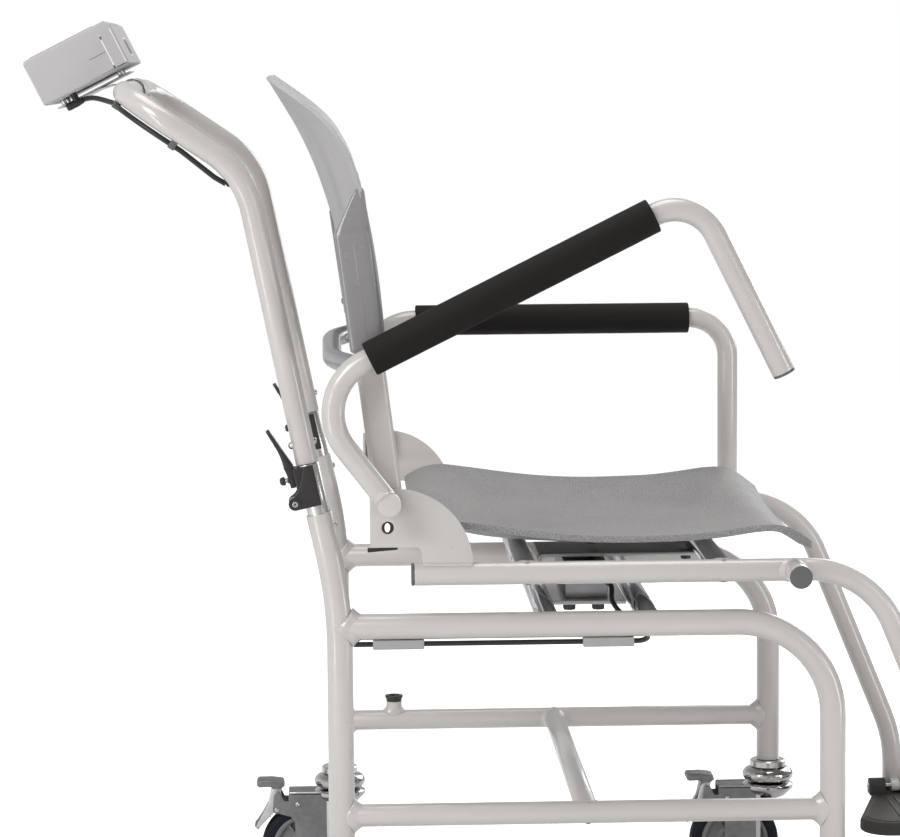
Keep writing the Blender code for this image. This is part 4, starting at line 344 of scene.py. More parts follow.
def placed(matrix, *parts):
    """Parts with their places turned and moved by a matrix."""
    turn, move = np.array(matrix.to_3x3()), np.array(matrix.translation)
    return [(points @ turn.T + move, faces) for points, faces in parts]


BEND_END_X = -POST_BEND * (1 - math.cos(POST_LEAN))
BEND_END_Z = POST_BEND_Z + POST_BEND * math.sin(POST_LEAN)
POST_TOP_X = BEND_END_X - (POST_TOP_Z - BEND_END_Z) * math.tan(POST_LEAN)


def lean_point(forward, along, y=0.0):
    """A place given along and before the leaning post, from the middle of its top."""
    return np.array((POST_TOP_X + forward * math.cos(POST_LEAN) - along * math.sin(POST_LEAN), y,
                     POST_TOP_Z + forward * math.sin(POST_LEAN) + along * math.cos(POST_LEAN)))


POST_FRONT = unit(lean_point(1, 0) - lean_point(0, 0))


def back_place(forward, y, height):
    """Places given before and along the leaning back post, from the armrest pivot."""
    x = PIVOT[0] + forward * math.cos(BACK_LEAN) - height * math.sin(BACK_LEAN)
    z = PIVOT[1] + forward * math.sin(BACK_LEAN) + height * math.cos(BACK_LEAN)
    return np.stack([x, y + 0 * x, z], axis=-1)


def screw(point, outward, head=0.0065, height=0.0024):
    """A domed screw head with a round recess: one turned profile."""
    dome = np.array([(0, -1), (0.5, -1), (0.5, 0.15), (0.46, 0.45), (0.36, 0.78), (0.20, 0.97), (0.16, 0.45),
                     (0, 0.45)])
    return turned(dome * (head, height), point, outward, 18)


def hex_head(point, outward, across=0.013, height=0.005):
    """A six-sided bolt head with a chamfered top: a profile turned with six steps."""
    reach = across / math.sqrt(3)
    return turned([(0, -height / 2), (reach, -height / 2), (reach, height * 0.8), (reach * 0.86, height),
                   (0, height)], point, outward, 6)


# Finishes

def feed(tree, socket, value):
    """Gives a socket a number, a colour or another node's output."""
    if isinstance(value, (int, float)):
        socket.default_value = value
    elif isinstance(value, tuple):
        socket.default_value = (*value, 1.0)
    else:
        tree.links.new(value, socket)


def object_place(tree):
    """The object's own places, from one node shared by the whole tree."""
    for node in tree.nodes:
        if node.bl_idname == "ShaderNodeTexCoord":
            return node.outputs["Object"]
    return tree.nodes.new("ShaderNodeTexCoord").outputs["Object"]


def noise(tree, scale, detail=2.0, vector=None):
    """A soft noise from 0 to 1."""
    node = tree.nodes.new("ShaderNodeTexNoise")
    feed(tree, node.inputs["Scale"], scale)
    feed(tree, node.inputs["Detail"], detail)
    feed(tree, node.inputs["Vector"], vector or object_place(tree))
    return node.outputs["Fac"]


def cells(tree, scale, vector=None, feature="F1"):
    """Distances in a pattern of cells."""
    node = tree.nodes.new("ShaderNodeTexVoronoi")
    node.feature = feature
    feed(tree, node.inputs["Scale"], scale)
    feed(tree, node.inputs["Vector"], vector or object_place(tree))
    return node.outputs["Distance"]


def sum_up(tree, operation, a, b):
    """Arithmetic on two values."""
    node = tree.nodes.new("ShaderNodeMath")
    node.operation = operation
    feed(tree, node.inputs[0], a)
    feed(tree, node.inputs[1], b)
    return node.outputs["Value"]


def remap(tree, value, low, high, out_low=0.0, out_high=1.0):
    """A value stretched from one span to another."""
    node = tree.nodes.new("ShaderNodeMapRange")
    for socket, given in zip(node.inputs, (value, low, high, out_low, out_high)):
        feed(tree, socket, given)
    return node.outputs["Result"]


def blend_colour(tree, share, a, b):
    """Two colours mixed by a share."""
    node = tree.nodes.new("ShaderNodeMix")
    node.data_type = "RGBA"
    for socket, value in ((node.inputs["Factor"], share), (node.inputs[6], a), (node.inputs[7], b)):
        feed(tree, socket, value)
    return node.outputs[2]


def effect_group(name, **numbers):
    """A node group with two colours and its own numbers in, and a colour, a roughness and a height
    out."""
    group = bpy.data.node_groups.new(name, "ShaderNodeTree")
    socket = group.interface.new_socket
    for label in ("first", "second"):
        socket(label, in_out="INPUT", socket_type="NodeSocketColor")
    for label, number in numbers.items():
        socket(label, in_out="INPUT", socket_type="NodeSocketFloat").default_value = number
    for label, kind in (("Colour", "Color"), ("Roughness", "Float"), ("Height", "Float")):
        socket(label, in_out="OUTPUT", socket_type="NodeSocket" + kind)
    return group, group.nodes.new("NodeGroupInput").outputs


def put_out(group, given, share, rough, height):
    """Ends a group: its second colour's share, what is added to its lowest roughness, and its height."""
    out = group.nodes.new("NodeGroupOutput").inputs
    feed(group, out["Colour"], blend_colour(group, share, given["first"], given["second"]))
    feed(group, out["Roughness"], sum_up(group, "ADD", given["low"], rough))
    feed(group, out["Height"], height)
    return group


def powder_coat():
    """Baked paint: fine orange peel, a slow drift of tone, tiny specks and a gloss that wanders."""
    group, given = effect_group("powder_coat", scale=900.0, low=0.3, spread=0.12)
    drift = remap(group, noise(group, 9.0, 3.0), 0.35, 0.7)
    specks = remap(group, noise(group, 2600.0, 0.0), 0.73, 0.80, 0.0, 0.25)
    tone = sum_up(group, "ADD", sum_up(group, "MULTIPLY", drift, 0.30), specks)
    rough = sum_up(group, "MULTIPLY", noise(group, 60.0, 4.0), given["spread"])
    return put_out(group, given, tone, rough, noise(group, given["scale"], 1.0))


def leather_grain():
    """Moulded leather grain: rounded pebbles with darker valleys between them and a finer grain over
    both."""
    group, given = effect_group("leather_grain", scale=620.0, low=0.38)
    warp = group.nodes.new("ShaderNodeVectorMath")
    warp.operation = "MULTIPLY_ADD"
    feed(group, warp.inputs[0], noise(group, 300.0).node.outputs["Color"])
    warp.inputs[1].default_value = (0.0016, 0.0016, 0.0016)
    feed(group, warp.inputs[2], object_place(group))
    rise = remap(group, cells(group, given["scale"], warp.outputs["Vector"], "DISTANCE_TO_EDGE"), 0.0, 0.32)
    fine = noise(group, 1900.0)
    drift = remap(group, noise(group, 14.0, 3.0), 0.3, 0.75, 0.0, 0.22)
    valley = sum_up(group, "SUBTRACT", 1.0, remap(group, rise, 0.0, 0.55))
    tone = sum_up(group, "ADD", sum_up(group, "MULTIPLY", valley, 0.75), drift)
    height = sum_up(group, "ADD", rise, sum_up(group, "MULTIPLY", fine, 0.35))
    return put_out(group, given, tone, sum_up(group, "MULTIPLY", fine, 0.2), height)


def plated_metal():
    """Plated steel: cloudy tone, hairline scratches along one way and faint smears in the gloss."""
    group, given = effect_group("plated_metal", scale=60.0, share=0.4, low=0.1, spread=0.12)
    stretch = group.nodes.new("ShaderNodeMapping")
    stretch.inputs["Scale"].default_value = (1.0, 1.0, 0.06)
    feed(group, stretch.inputs["Vector"], object_place(group))
    clouds = remap(group, noise(group, given["scale"], 5.0), 0.35, 0.7)
    share = sum_up(group, "MULTIPLY", clouds, given["share"])
    smear = sum_up(group, "MULTIPLY", noise(group, 35.0, 4.0), given["spread"])
    return put_out(group, given, share, smear, noise(group, 2400.0, 1.0, stretch.outputs["Vector"]))


def pored_surface():
    """Foam and rubber: fine pores, a cloudy tone and a faint dusty bloom where the surface faces up."""
    group, given = effect_group("pored_surface", scale=1400.0, share=0.3, low=0.6)
    cloud = remap(group, noise(group, 45.0, 5.0), 0.35, 0.72)
    split = group.nodes.new("ShaderNodeSeparateXYZ")
    feed(group, split.inputs["Vector"], group.nodes.new("ShaderNodeNewGeometry").outputs["Normal"])
    top = remap(group, split.outputs["Z"], -0.2, 1.0, 0.15, 1.0)
    share = sum_up(group, "MULTIPLY", sum_up(group, "MULTIPLY", cloud, top), given["share"])
    return put_out(group, given, share, sum_up(group, "MULTIPLY", cloud, 0.15), cells(group, given["scale"]))


COAT, GRAIN, PLATED, PORED = powder_coat(), leather_grain(), plated_metal(), pored_surface()
COAT_ROUGHNESS = 0.12


def finish(name, group, first, second, bump, depth, metallic=0.0, coat=0.0, specular=0.5, **numbers):
    """A material of its own: a shared effect with its own colours and numbers, bump from its height."""
    material = bpy.data.materials.new(name)
    material.use_nodes = True
    tree = material.node_tree
    effect = tree.nodes.new("ShaderNodeGroup")
    effect.node_tree = group
    relief = tree.nodes.new("ShaderNodeBump")
    shader = tree.nodes["Principled BSDF"]
    for node, values in (
            (effect, {"first": first, "second": second, **numbers}),
            (relief, {"Strength": bump, "Distance": depth, "Height": effect.outputs["Height"]}),
            (shader, {"Base Color": effect.outputs["Colour"], "Roughness": effect.outputs["Roughness"],
                      "Normal": relief.outputs["Normal"], "Metallic": metallic, "Coat Weight": coat,
                      "Coat Roughness": COAT_ROUGHNESS, "Specular IOR Level": specular})):
        for label, value in values.items():
            feed(tree, node.inputs[label], value)
    material.diffuse_color = (*first, 1.0)
    return material


# Each row: name, effect, its two colours, bump strength and depth, then what differs from the defaults
FRAME_PAINT = finish("frame_paint", COAT, (0.545, 0.520, 0.495), (0.47, 0.445, 0.42), 0.05, 0.0003, coat=0.75,
                     scale=700.0, low=0.24)
SEAT_PLASTIC = finish("seat_plastic", GRAIN, (0.345, 0.336, 0.332), (0.172, 0.166, 0.163), 0.7, 0.0009,
                      scale=400.0, low=0.34)
# Painted light: the seat's plastic made lighter on the back for the light that falls on it
BACK_PLASTIC_LIT = finish("back_plastic_lit", GRAIN, (0.46, 0.45, 0.448), (0.35, 0.342, 0.338), 0.2, 0.0004, low=0.40)
SLEEVE_PLASTIC = finish("sleeve_plastic", COAT, (0.235, 0.228, 0.225), (0.190, 0.184, 0.181), 0.06, 0.0002,
                        coat=0.75, low=0.20)
BOW_METAL = finish("bow_satin", PLATED, (0.44, 0.44, 0.45), (0.33, 0.33, 0.35), 0.05, 0.0001, 0.9, low=0.26)
# Painted shade: dark grey for the shade under the seat, on the channel and in the load cell's windows
SHADE_GREY = finish("painted_shade_grey", COAT, (0.17, 0.165, 0.16), (0.12, 0.115, 0.11), 0.08, 0.0002, low=0.36)
CHROME = finish("cross_tube_chrome", PLATED, (0.74, 0.74, 0.76), (0.58, 0.60, 0.66), 0.02, 0.0001, 1.0,
                share=0.35, low=0.05, spread=0.07)
RACE_CHROME = finish("race_chrome", PLATED, (0.55, 0.54, 0.53), (0.34, 0.33, 0.33), 0.03, 0.0001, 1.0,
                     share=0.6, low=0.07, spread=0.08)
ZINC = finish("castor_zinc", PLATED, (0.235, 0.235, 0.24), (0.16, 0.16, 0.165), 0.08, 0.0002, 0.85,
              scale=150.0, share=0.6, low=0.34, spread=0.2)
BRIGHT_ZINC = finish("bright_zinc", PLATED, (0.62, 0.61, 0.60), (0.45, 0.44, 0.43), 0.05, 0.0001, 1.0,
                     scale=120.0, low=0.16, spread=0.15)
ALUMINIUM = finish("spigot_aluminium", PLATED, (0.66, 0.65, 0.64), (0.52, 0.51, 0.50), 0.08, 0.0001, 1.0,
                   low=0.17, spread=0.14)
CELL_METAL = finish("load_cell_metal", PLATED, (0.36, 0.36, 0.37), (0.25, 0.25, 0.26), 0.15, 0.0002, 0.9,
                    low=0.3, spread=0.2)
CLAMP_BLACK = finish("clamp_black", COAT, (0.018, 0.016, 0.015), (0.034, 0.031, 0.029), 0.25, 0.0003,
                     scale=1300.0, low=0.32)
CAP_GREY = finish("cap_grey", COAT, (0.105, 0.105, 0.105), (0.14, 0.14, 0.14), 0.2, 0.0003, scale=1200.0,
                  low=0.42)
CLIP_GREY = finish("clip_grey", COAT, (0.36, 0.355, 0.35), (0.28, 0.275, 0.27), 0.15, 0.0002, scale=1200.0,
                   low=0.4)
CASE_GREY = finish("case_grey", COAT, (0.455, 0.435, 0.445), (0.41, 0.39, 0.40), 0.12, 0.0002, scale=1700.0,
                   low=0.46)
# Painted shade for the case's grooves, slots and front recess
GROOVE_SHADE = finish("groove_shade", COAT, (0.03, 0.03, 0.035), (0.05, 0.05, 0.055), 0.05, 0.0001)
FOAM = finish("sleeve_foam", PORED, (0.0110, 0.0092, 0.0082), (0.022, 0.020, 0.018), 0.30, 0.0003,
              specular=0.16, scale=1500.0, share=0.5, low=0.60)
CABLE_BLACK = finish("cable_black", PORED, (0.013, 0.012, 0.011), (0.03, 0.03, 0.03), 0.08, 0.0002,
                     scale=2200.0, low=0.34)
TYRE = finish("tyre_rubber", PORED, (0.012, 0.013, 0.018), (0.028, 0.028, 0.032), 0.15, 0.0003,
              specular=0.12, scale=900.0, share=0.5, low=0.52)
HUB_GREY = finish("hub_nylon", COAT, (0.17, 0.165, 0.165), (0.24, 0.235, 0.23), 0.15, 0.0002, scale=1000.0,
                  low=0.35)
PLATE_BLACK = finish("footplate_plastic", GRAIN, (0.042, 0.037, 0.034), (0.020, 0.018, 0.016), 0.4, 0.0006,
                     specular=0.35, scale=700.0, low=0.40)
STRIP_RUBBER = finish("strip_rubber", PORED, (0.012, 0.012, 0.012), (0.03, 0.03, 0.03), 0.1, 0.0002)
PANEL = finish("membrane_panel", COAT, (0.055, 0.065, 0.085), (0.07, 0.08, 0.10), 0.08, 0.0001, scale=2600.0)
SCREEN = finish("display_window", COAT, (0.27, 0.31, 0.26), (0.24, 0.28, 0.23), 0.01, 0.0001, coat=0.6,
                low=0.10, spread=0.05)
DIGIT = finish("display_digits", COAT, (0.02, 0.025, 0.02), (0.03, 0.035, 0.03), 0.01, 0.0001)
# Painted highlight for the lips of the case's grooves and the rim of its front recess
GROOVE_HIGHLIGHT = finish("groove_highlights", COAT, (0.86, 0.86, 0.88), (0.76, 0.76, 0.78), 0.03, 0.0001)
KEY = finish("key_tops", COAT, (0.42, 0.44, 0.47), (0.36, 0.38, 0.41), 0.08, 0.0001, low=0.34)


# Placing pieces

def piece(name, parts, body, material, node=None, smooth_deg=38.0):
    """One finished piece: its parts in one mesh, doubles merged, faces turned outward, riding on its
    body."""
    places, faces, start = [], [], 0
    for points, part_faces in parts:
        places.append(points)
        faces.extend([tuple(v + start for v in face) for face in part_faces])
        start += len(points)
    mesh = bpy.data.meshes.new(name)
    mesh.from_pydata((np.concatenate(places) + POST_X * ALONG).tolist(), [], faces)
    bm = bmesh.new()
    bm.from_mesh(mesh)
    bmesh.ops.remove_doubles(bm, verts=bm.verts[:], dist=0.000004)
    bmesh.ops.dissolve_degenerate(bm, edges=bm.edges[:], dist=0.000002)
    bmesh.ops.recalc_face_normals(bm, faces=bm.faces[:])
    bm.to_mesh(mesh)
    bm.free()
    mesh.shade_smooth()
    mesh.set_sharp_from_angle(angle=math.radians(smooth_deg))
    mesh.materials.append(material)
    obj = bpy.data.objects.new(name, mesh)
    bpy.context.scene.collection.objects.link(obj)
    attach(obj, body)
    if node:
        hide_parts(node)
    return obj


# The two cables

def load_cell_cable():
    """Out of the load cell, forward to the front clip, then straight back under the right rail in its
    clips."""
    y, cell_z = -FRAME_Y, 0.3960
    knots = [(0.2535, -0.0753, cell_z), (0.2660, -0.087, cell_z + 0.0030), (0.2765, -0.103, cell_z),
             (0.2758, -0.128, 0.3838), (0.2835, -0.165, 0.3752), (0.3005, -0.205, 0.3645),
             (0.302, y + 0.016, CORD_Z + 0.0005), (0.2955, y + 0.003, CORD_Z), (0.287, y, CORD_Z)]
    straight = [(x, y, CORD_Z) for x in (CLIP_STARTS[1], 0.120, CLIP_STARTS[0], TUBE / 2 + 0.0006)]
    route = np.concatenate([smooth_curve(knots, 7), straight])
    piece("load_cell_lead", [carried(route, CORD, UP, 16, 0.0006)], "chair_frame", CABLE_BLACK,
          "load_cell_cable")


def case_matrix():
    """The indicator's own frame: X forward along its tilted length, Z out of its display."""
    return Matrix.Translation((CASE_CORNER[0], 0.0, CASE_CORNER[1])) @ Matrix.Rotation(-CASE_TILT, 4, "Y")


def handle_cable():
    """From the plug in a shallow arc to the handle's cross tube, along its underside and the sloping
    tube's, then straight to its grommet in the bend."""
    y, bend = -FRAME_Y, HANDLE_BENDS[0]
    corner = np.array((HANDLE_TOP[0], y, HANDLE_TOP[1]))
    knee = np.array((HANDLE_KNEE[0], y, HANDLE_KNEE[1]))
    down = unit(knee - corner)
    under = np.array((down[2], 0.0, -down[0]))
    start = np.array((corner[0], -0.161, corner[2]))
    along = fillet_path([start, corner, corner + down * 0.078], HANDLE_BENDS[1:]) + under * (SLIM + 0.0036)
    box = np.array(case_matrix())
    plug_ends = [(box @ (x, PLUG_Y, PLUG_DROP, 1))[:3] for x in (0.0300, 0.0352)]
    crest = (-0.2365, -0.103, 0.8930)
    lead = smooth_curve([*plug_ends, crest, along[0] + (-0.0015, 0.010, 0.0007), along[0]], 8)
    lean = unit(lean_point(0, 0) - lean_point(0, 0.05))
    setback = bend * math.tan(math.acos(float(down @ lean)) / 2)
    centre = corner + down * (np.linalg.norm(knee - corner) - setback) + under * bend
    turn = math.radians(20.0)
    inward = under * math.cos(turn) - down * math.sin(turn)
    foot = centre - inward * (bend - SLIM)
    tip = foot + inward * 0.0016
    beside = foot + inward * 0.0030 - unit(tip - along[-1]) * 0.0120
    route = np.concatenate([lead, along[1:], [(along[-1] + beside) / 2, beside, tip]])
    lead = carried(route, CORD, (0.55, 0.35, 0.76), 16, 0.0006)
    piece("indicator_lead", [lead], "push_handle", CABLE_BLACK, "indicator_cable")
    collar = mm((0, 0.6), (3.8, 0.6), (4.2, 1.1), (4.1, 1.8), (3.4, 2.4), (2.8, 2.6), (0, 2.6))
    piece("grommet_collar", [turned(collar, foot - inward * 0.0006, inward, 24)], "push_handle", STRIP_RUBBER,
          "cable_grommet")
    for label, middle, way in (("upper", np.array((corner[0], -0.178, corner[2])), ACROSS),
                               ("lower", corner + down * 0.068, down)):
        turn_to = Matrix((unit(np.cross(way, under)), way, under)).transposed().to_4x4()
        turn_to.translation = middle
        under_tube = Matrix.Translation((0, 0, SLIM + 0.0034))
        clip = slab(rounded_rectangle(0.0074, 0.0070, 0.0012), 0.0084, under_tube)
        piece("handle_clip_body_" + label, placed(turn_to, clip), "push_handle", CAP_GREY,
              "handle_clip_" + label)


# Base

def post_path(y):
    """The rear post: straight up, then an arc that leans it back, then straight to its top."""
    t = np.linspace(0.0, POST_LEAN, 9)
    bend = [(POST_BEND * (math.cos(a) - 1), y, POST_BEND_Z + POST_BEND * math.sin(a)) for a in t]
    return [(0.0, y, LEG_END_Z), (0.0, y, 0.28), *bend, lean_point(0, 0, y)]


def side_frames():
    """Rear post, top rail bent into the front leg, bottom rail and their beads; on the left also the
    socket."""
    radius, post_bead = TUBE / 2, 0.0075
    for label, side in SIDES:
        y = side * FRAME_Y
        rail = fillet_path([(0, y, TOP_RAIL_Z), (BASE_LENGTH, y, TOP_RAIL_Z), (BASE_LENGTH, y, LEG_END_Z)],
                           [0.094], 4)
        lower = [(x, y, LOWER_RAIL_Z) for x in (0, 0.2, BASE_LENGTH)]
        parts = [carried(post_path(y), radius, ACROSS, 36, 0.0011, mouth=(SLIM + 0.0002, 0.034)),
                 carried(rail, radius, ACROSS, 36), carried(lower, SLIM, ACROSS, 32),
                 weld_bead((0.0006, y, TOP_RAIL_Z), ALONG, radius * 0.995, UP, radius, post_bead),
                 weld_bead(lower[0], ALONG, SLIM, UP, radius, post_bead),
                 weld_bead(lower[-1], -ALONG, SLIM, UP, radius, post_bead)]
        if side > 0:
            socket = np.array((SOCKET_X, y, LOWER_RAIL_Z))
            neck = mm((0, 4), (8.7, 4), (8.75, 21), (8, 21.5), (6.2, 21.5), (6.2, 12), (0, 12))
            parts.append(turned(neck, socket, steps=32))
            parts.append(weld_bead(socket, UP, 0.0086, ALONG, SLIM * 0.995, 0.0050))
            profile = mm((5.8, -4), (5.8, 0), (8.6, 0), (8.9, 3), (10, 4.2), (10, 6.6), (6.2, 6.6), (5, -4))
            collar = turned(softened(profile, 0.0005), socket + 0.0215 * UP, steps=32)
            piece("socket_collar", [collar], "chair_frame", CLAMP_BLACK)
        piece("base_side_" + label, parts, "chair_frame", FRAME_PAINT, "side_frame_" + label)
        piece("post_screw_" + label, [screw(lean_point(radius, -0.014, y), POST_FRONT)], "chair_frame",
              BRIGHT_ZINC)


def cross_tubes():
    """Tubes across the chair, with a bead where each meets its rails."""
    # Each row: node, place along X, height, half the span, the rails' tube, material
    rows = (("bottom_cross_tube", 0.2416, LOWER_RAIL_Z, FRAME_Y, SLIM_TUBE, FRAME_PAINT),
            ("base_cross_tube_rear", 0.205, TOP_RAIL_Z, FRAME_Y, TUBE, CHROME),
            ("base_cross_tube_front", 0.305, TOP_RAIL_Z, FRAME_Y, TUBE, CHROME),
            ("carriage_cross_tube_rear", 0.182, RAIL_Z, RAIL_Y, SLIM_TUBE, CHROME),
            ("carriage_cross_tube_front", 0.3725, RAIL_Z, RAIL_Y, SLIM_TUBE, CHROME))
    for node, x, z, half, host, material in rows:
        end = half - host / 4
        bar = carried([(x, -end, z), (x, 0, z), (x, end, z)], SLIM, UP, 40)
        piece(node + "_bar", [bar], "chair_frame", material, node)
        beads = [weld_bead((x, side * half, z), -side * ACROSS, SLIM, ALONG, host / 2, 0.0058)
                 for _, side in SIDES]
        piece(node + "_welds", beads, "chair_frame", FRAME_PAINT)


# Seat carriage

def fan_plate_outline():
    """A quarter fan over the rail with a straight rear edge and a notch in its lower edge."""
    centre, radius, rear_x = (0.0533, 0.4415), 0.0764, 0.030
    rear_deg = math.degrees(math.acos((rear_x - centre[0]) / radius))
    return np.vstack([arc(centre, radius, 0.0, rear_deg, 32), (rear_x, 0.4605),
                      arc((0.0735, 0.4535), 0.007, 90.0, 0.0, 5), (0.0805, RAIL_Z), (0.1297, RAIL_Z)])


def carriage_sides():
    """Seat rail bent down into the leg-rest tube, with fan plate, armrest peg, hinge lug, plugs and
    strip."""
    knee_z = RAIL_Z - (HINGE[0] - RAIL_KNEE_X) / math.tan(LEG_REST_LEAN)
    plug = softened([(0, 0), (SLIM, 0), (SLIM, 0.0030), (0, 0.0026)], 0.0009, 20)
    for label, side in SIDES:
        y, fan_y = side * RAIL_Y, side * FAN_Y
        hinge = (HINGE[0], side * HINGE[1], HINGE[2])
        rail = fillet_path([(RAIL_START_X, y, RAIL_Z), (RAIL_KNEE_X, y, RAIL_Z), (HINGE[0], y, knee_z),
                            (HINGE[0], y, 0.1036)], [0.088, 0.150], 4)
        holes = [arc(STOP_HOLE, 0.006, 0, 345, 23), arc(PIVOT, 0.0063, 0, 345, 23)]
        lug = np.vstack([arc((0, 0), 0.0062, 90, 270, 12), (0.016, -0.0059), (0.016, 0.0062)])
        lug_place = Matrix.Translation(hinge) @ Matrix.Rotation(math.pi / 2 * side, 4, "Z")
        seam = smooth_curve([(x, fan_y + side * out, RAIL_Z + rise) for x, out, rise in
                             mm((82, 1.2, 10.5), (105, 1.6, 9.8), (128.5, 1.2, 10))], 8)
        parts = [carried(rail, SLIM, ACROSS, 32),
                 standing(fan_plate_outline(), 0.004, fan_y, 0.0009, holes),
                 block((0.030, fan_y - side * 0.012, 0.4605), (0.033, fan_y + side * 0.001, 0.510)),
                 carried([(PEG_X, y + side * out, RAIL_Z) for out in (0.004, 0.03, PEG_REACH)], SLIM, UP, 32),
                 weld_bead((PEG_X, y, RAIL_Z), side * ACROSS, SLIM * 0.99, ALONG, SLIM),
                 slab(lug, 0.009, lug_place @ upright(), 0.0007),
                 carried(seam, 0.0021, UP, 10, 0.0006, swell=0.12)]
        piece("carriage_rail_" + label, parts, "chair_frame", FRAME_PAINT,
              "carriage_side_" + label)
        pin = turned(rod(0.003, -0.0319, 0.0319, 0.0005), hinge, ALONG, 20)
        piece("footplate_pin_" + label, [pin], "chair_frame", BRIGHT_ZINC)
        for end, spot, way in (("rail", (RAIL_START_X, y, RAIL_Z), -ALONG),
                               ("peg", (PEG_X, y + side * PEG_REACH, RAIL_Z), side * ACROSS)):
            cap = end + "_cap"
            piece(end + "_plug_" + label, [turned(plug, spot, way, 36)], "chair_frame", CAP_GREY,
                  cap + "_" + label)
        turn = once_round(24)
        slot = np.column_stack([0.0468 + 0.0027 * np.cos(turn), STOP_HOLE[1] + 0.0045 * np.sin(turn)])
        bush = standing(arc(STOP_HOLE, 0.0059, 0, 345, 23), 0.0020, fan_y - side * 0.0004, 0.0003, [slot])
        piece("stop_bush_" + label, [bush], "chair_frame", CLAMP_BLACK)
        wedge = mm((56.5, 460.4), (27.5, 460.4), (27.5, 456.4), (56.5, 458.8))
        strip = standing(wedge, 0.0056, fan_y, 0.0004)
        piece("rest_strip_" + label, [strip], "chair_frame", STRIP_RUBBER)


# Seat and back

SEAT_PLACES = (0.000, 0.040, 0.095, 0.170, 0.275, 0.390, 0.500, 0.610, 0.720, 0.800, 0.860, 0.905, 0.945,
               0.980, 1.000)
SEAT_EDGE = (0.28, 0.72, 0.97, 0.80, 0.44, 0.13, 0.00, 0.02, 0.13, 0.36, 0.55, 0.56, 0.30, -0.25, -0.62)
SEAT_MIDDLE = (0.78, 0.95, 0.72, 0.24, 0.00, 0.00, 0.00, 0.00, 0.00, 0.16, 0.42, 0.55, 0.36, -0.10, -0.42)
SEAT_SWING = 0.0165
SEAT_HALF = 0.238
SEAT_WALL = 0.0062
SEAT_STUD_LINE = 0.957
SEAT_CORNER = 0.040


def seat_point(along, across):
    """A place on the seat: along its depth the edge line and the middle line are two smooth curves, and
    across it the height goes from middle to edge by the 2.6th power of the share; both corners are drawn
    in by a quarter arc."""
    edge = 0.4655 + smooth_value(along, SEAT_PLACES, SEAT_EDGE) * SEAT_SWING
    middle = RAIL_Z + SLIM + 0.0065 + smooth_value(along, SEAT_PLACES, SEAT_MIDDLE) * SEAT_SWING
    gap = np.minimum(np.minimum(along, 1 - along) / (SEAT_CORNER / SEAT_DEPTH), 1.0)
    narrowing = SEAT_CORNER * (1 - np.sqrt(1 - (1 - gap) ** 2)) / 2
    z = middle + (edge - middle) * np.abs(across) ** 2.6
    x = SEAT_START_X + along * SEAT_DEPTH + 0 * across
    return np.stack([x, across * (SEAT_HALF - narrowing), z], axis=-1)


def ended(count, sharp):
    """Shares from 0 to 1 that crowd towards both ends."""
    t = np.linspace(-1, 1, count)
    return (np.sign(t) * (1 - (1 - np.abs(t)) ** sharp) + 1) / 2


def shell_piece(name, points, thickness, inward, material, node, bevel):
    """A sheet given its wall by Solidify towards one side and a rounded rim by Bevel."""
    obj = piece(name, [surface(points, wrap_columns=False)], "chair_frame", material, node, 60)
    middle = Vector(points[points.shape[0] // 2, points.shape[1] // 2]) + Vector((POST_X, 0, 0))
    face = min(obj.data.polygons, key=lambda p: (p.center - middle).length)
    wall = obj.modifiers.new("wall", "SOLIDIFY")
    wall.thickness = thickness
    wall.offset = 1.0 if face.normal.dot(Vector(inward)) > 0 else -1.0
    wall.use_even_offset = True
    rim = obj.modifiers.new("rim", "BEVEL")
    rim.limit_method = "ANGLE"
    rim.angle_limit = math.radians(55)
    rim.width = bevel
    rim.segments = 3


def seat():
    """The seat shell and the two rows of small studs near its side edges."""
    along, across = np.meshgrid(ended(54, 1.7), ended(46, 1.6) * 2 - 1, indexing="ij")
    shell_piece("seat_pan", seat_point(along, across), SEAT_WALL, (0, 0, -1), SEAT_PLASTIC, "seat_shell", 0.0017)
    share = np.linspace(0.10, 0.88, 58)
    dome = mm((0, 0.35), (0.7, 0.22), (1.1, -0.3))
    studs = [turned(dome, spot, UP, 8) for side in HANDS
             for spot in seat_point(share, 0 * share + side * SEAT_STUD_LINE)]
    piece("seat_edge_studs", studs, "chair_frame", SEAT_PLASTIC)


BACK_HEIGHTS = (0.0, 0.15, 0.30, 0.45, 0.56, 0.66, 0.75, 0.82, 0.88, 0.94, 1.0)
BACK_EDGE = (0.0, 0.030, 0.070, 0.128, 0.180, 0.245, 0.345, 0.460, 0.610, 0.800, 1.000)
BACK_MIDDLE = (0.205, 0.250, 0.325, 0.420, 0.500, 0.585, 0.680, 0.765, 0.850, 0.935, 1.020)
BACK_SWEEP = 0.110
BACK_HALF = 0.257
BACK_TOP_HALF = 0.206
BACK_LOW_Z = 0.652
BACK_RISE = 0.262
BACK_WALL = 0.004


def back_axis_x(z):
    """Where the back post's middle line is at a height."""
    return PIVOT[0] - (z - PIVOT[1]) * math.tan(BACK_LEAN)


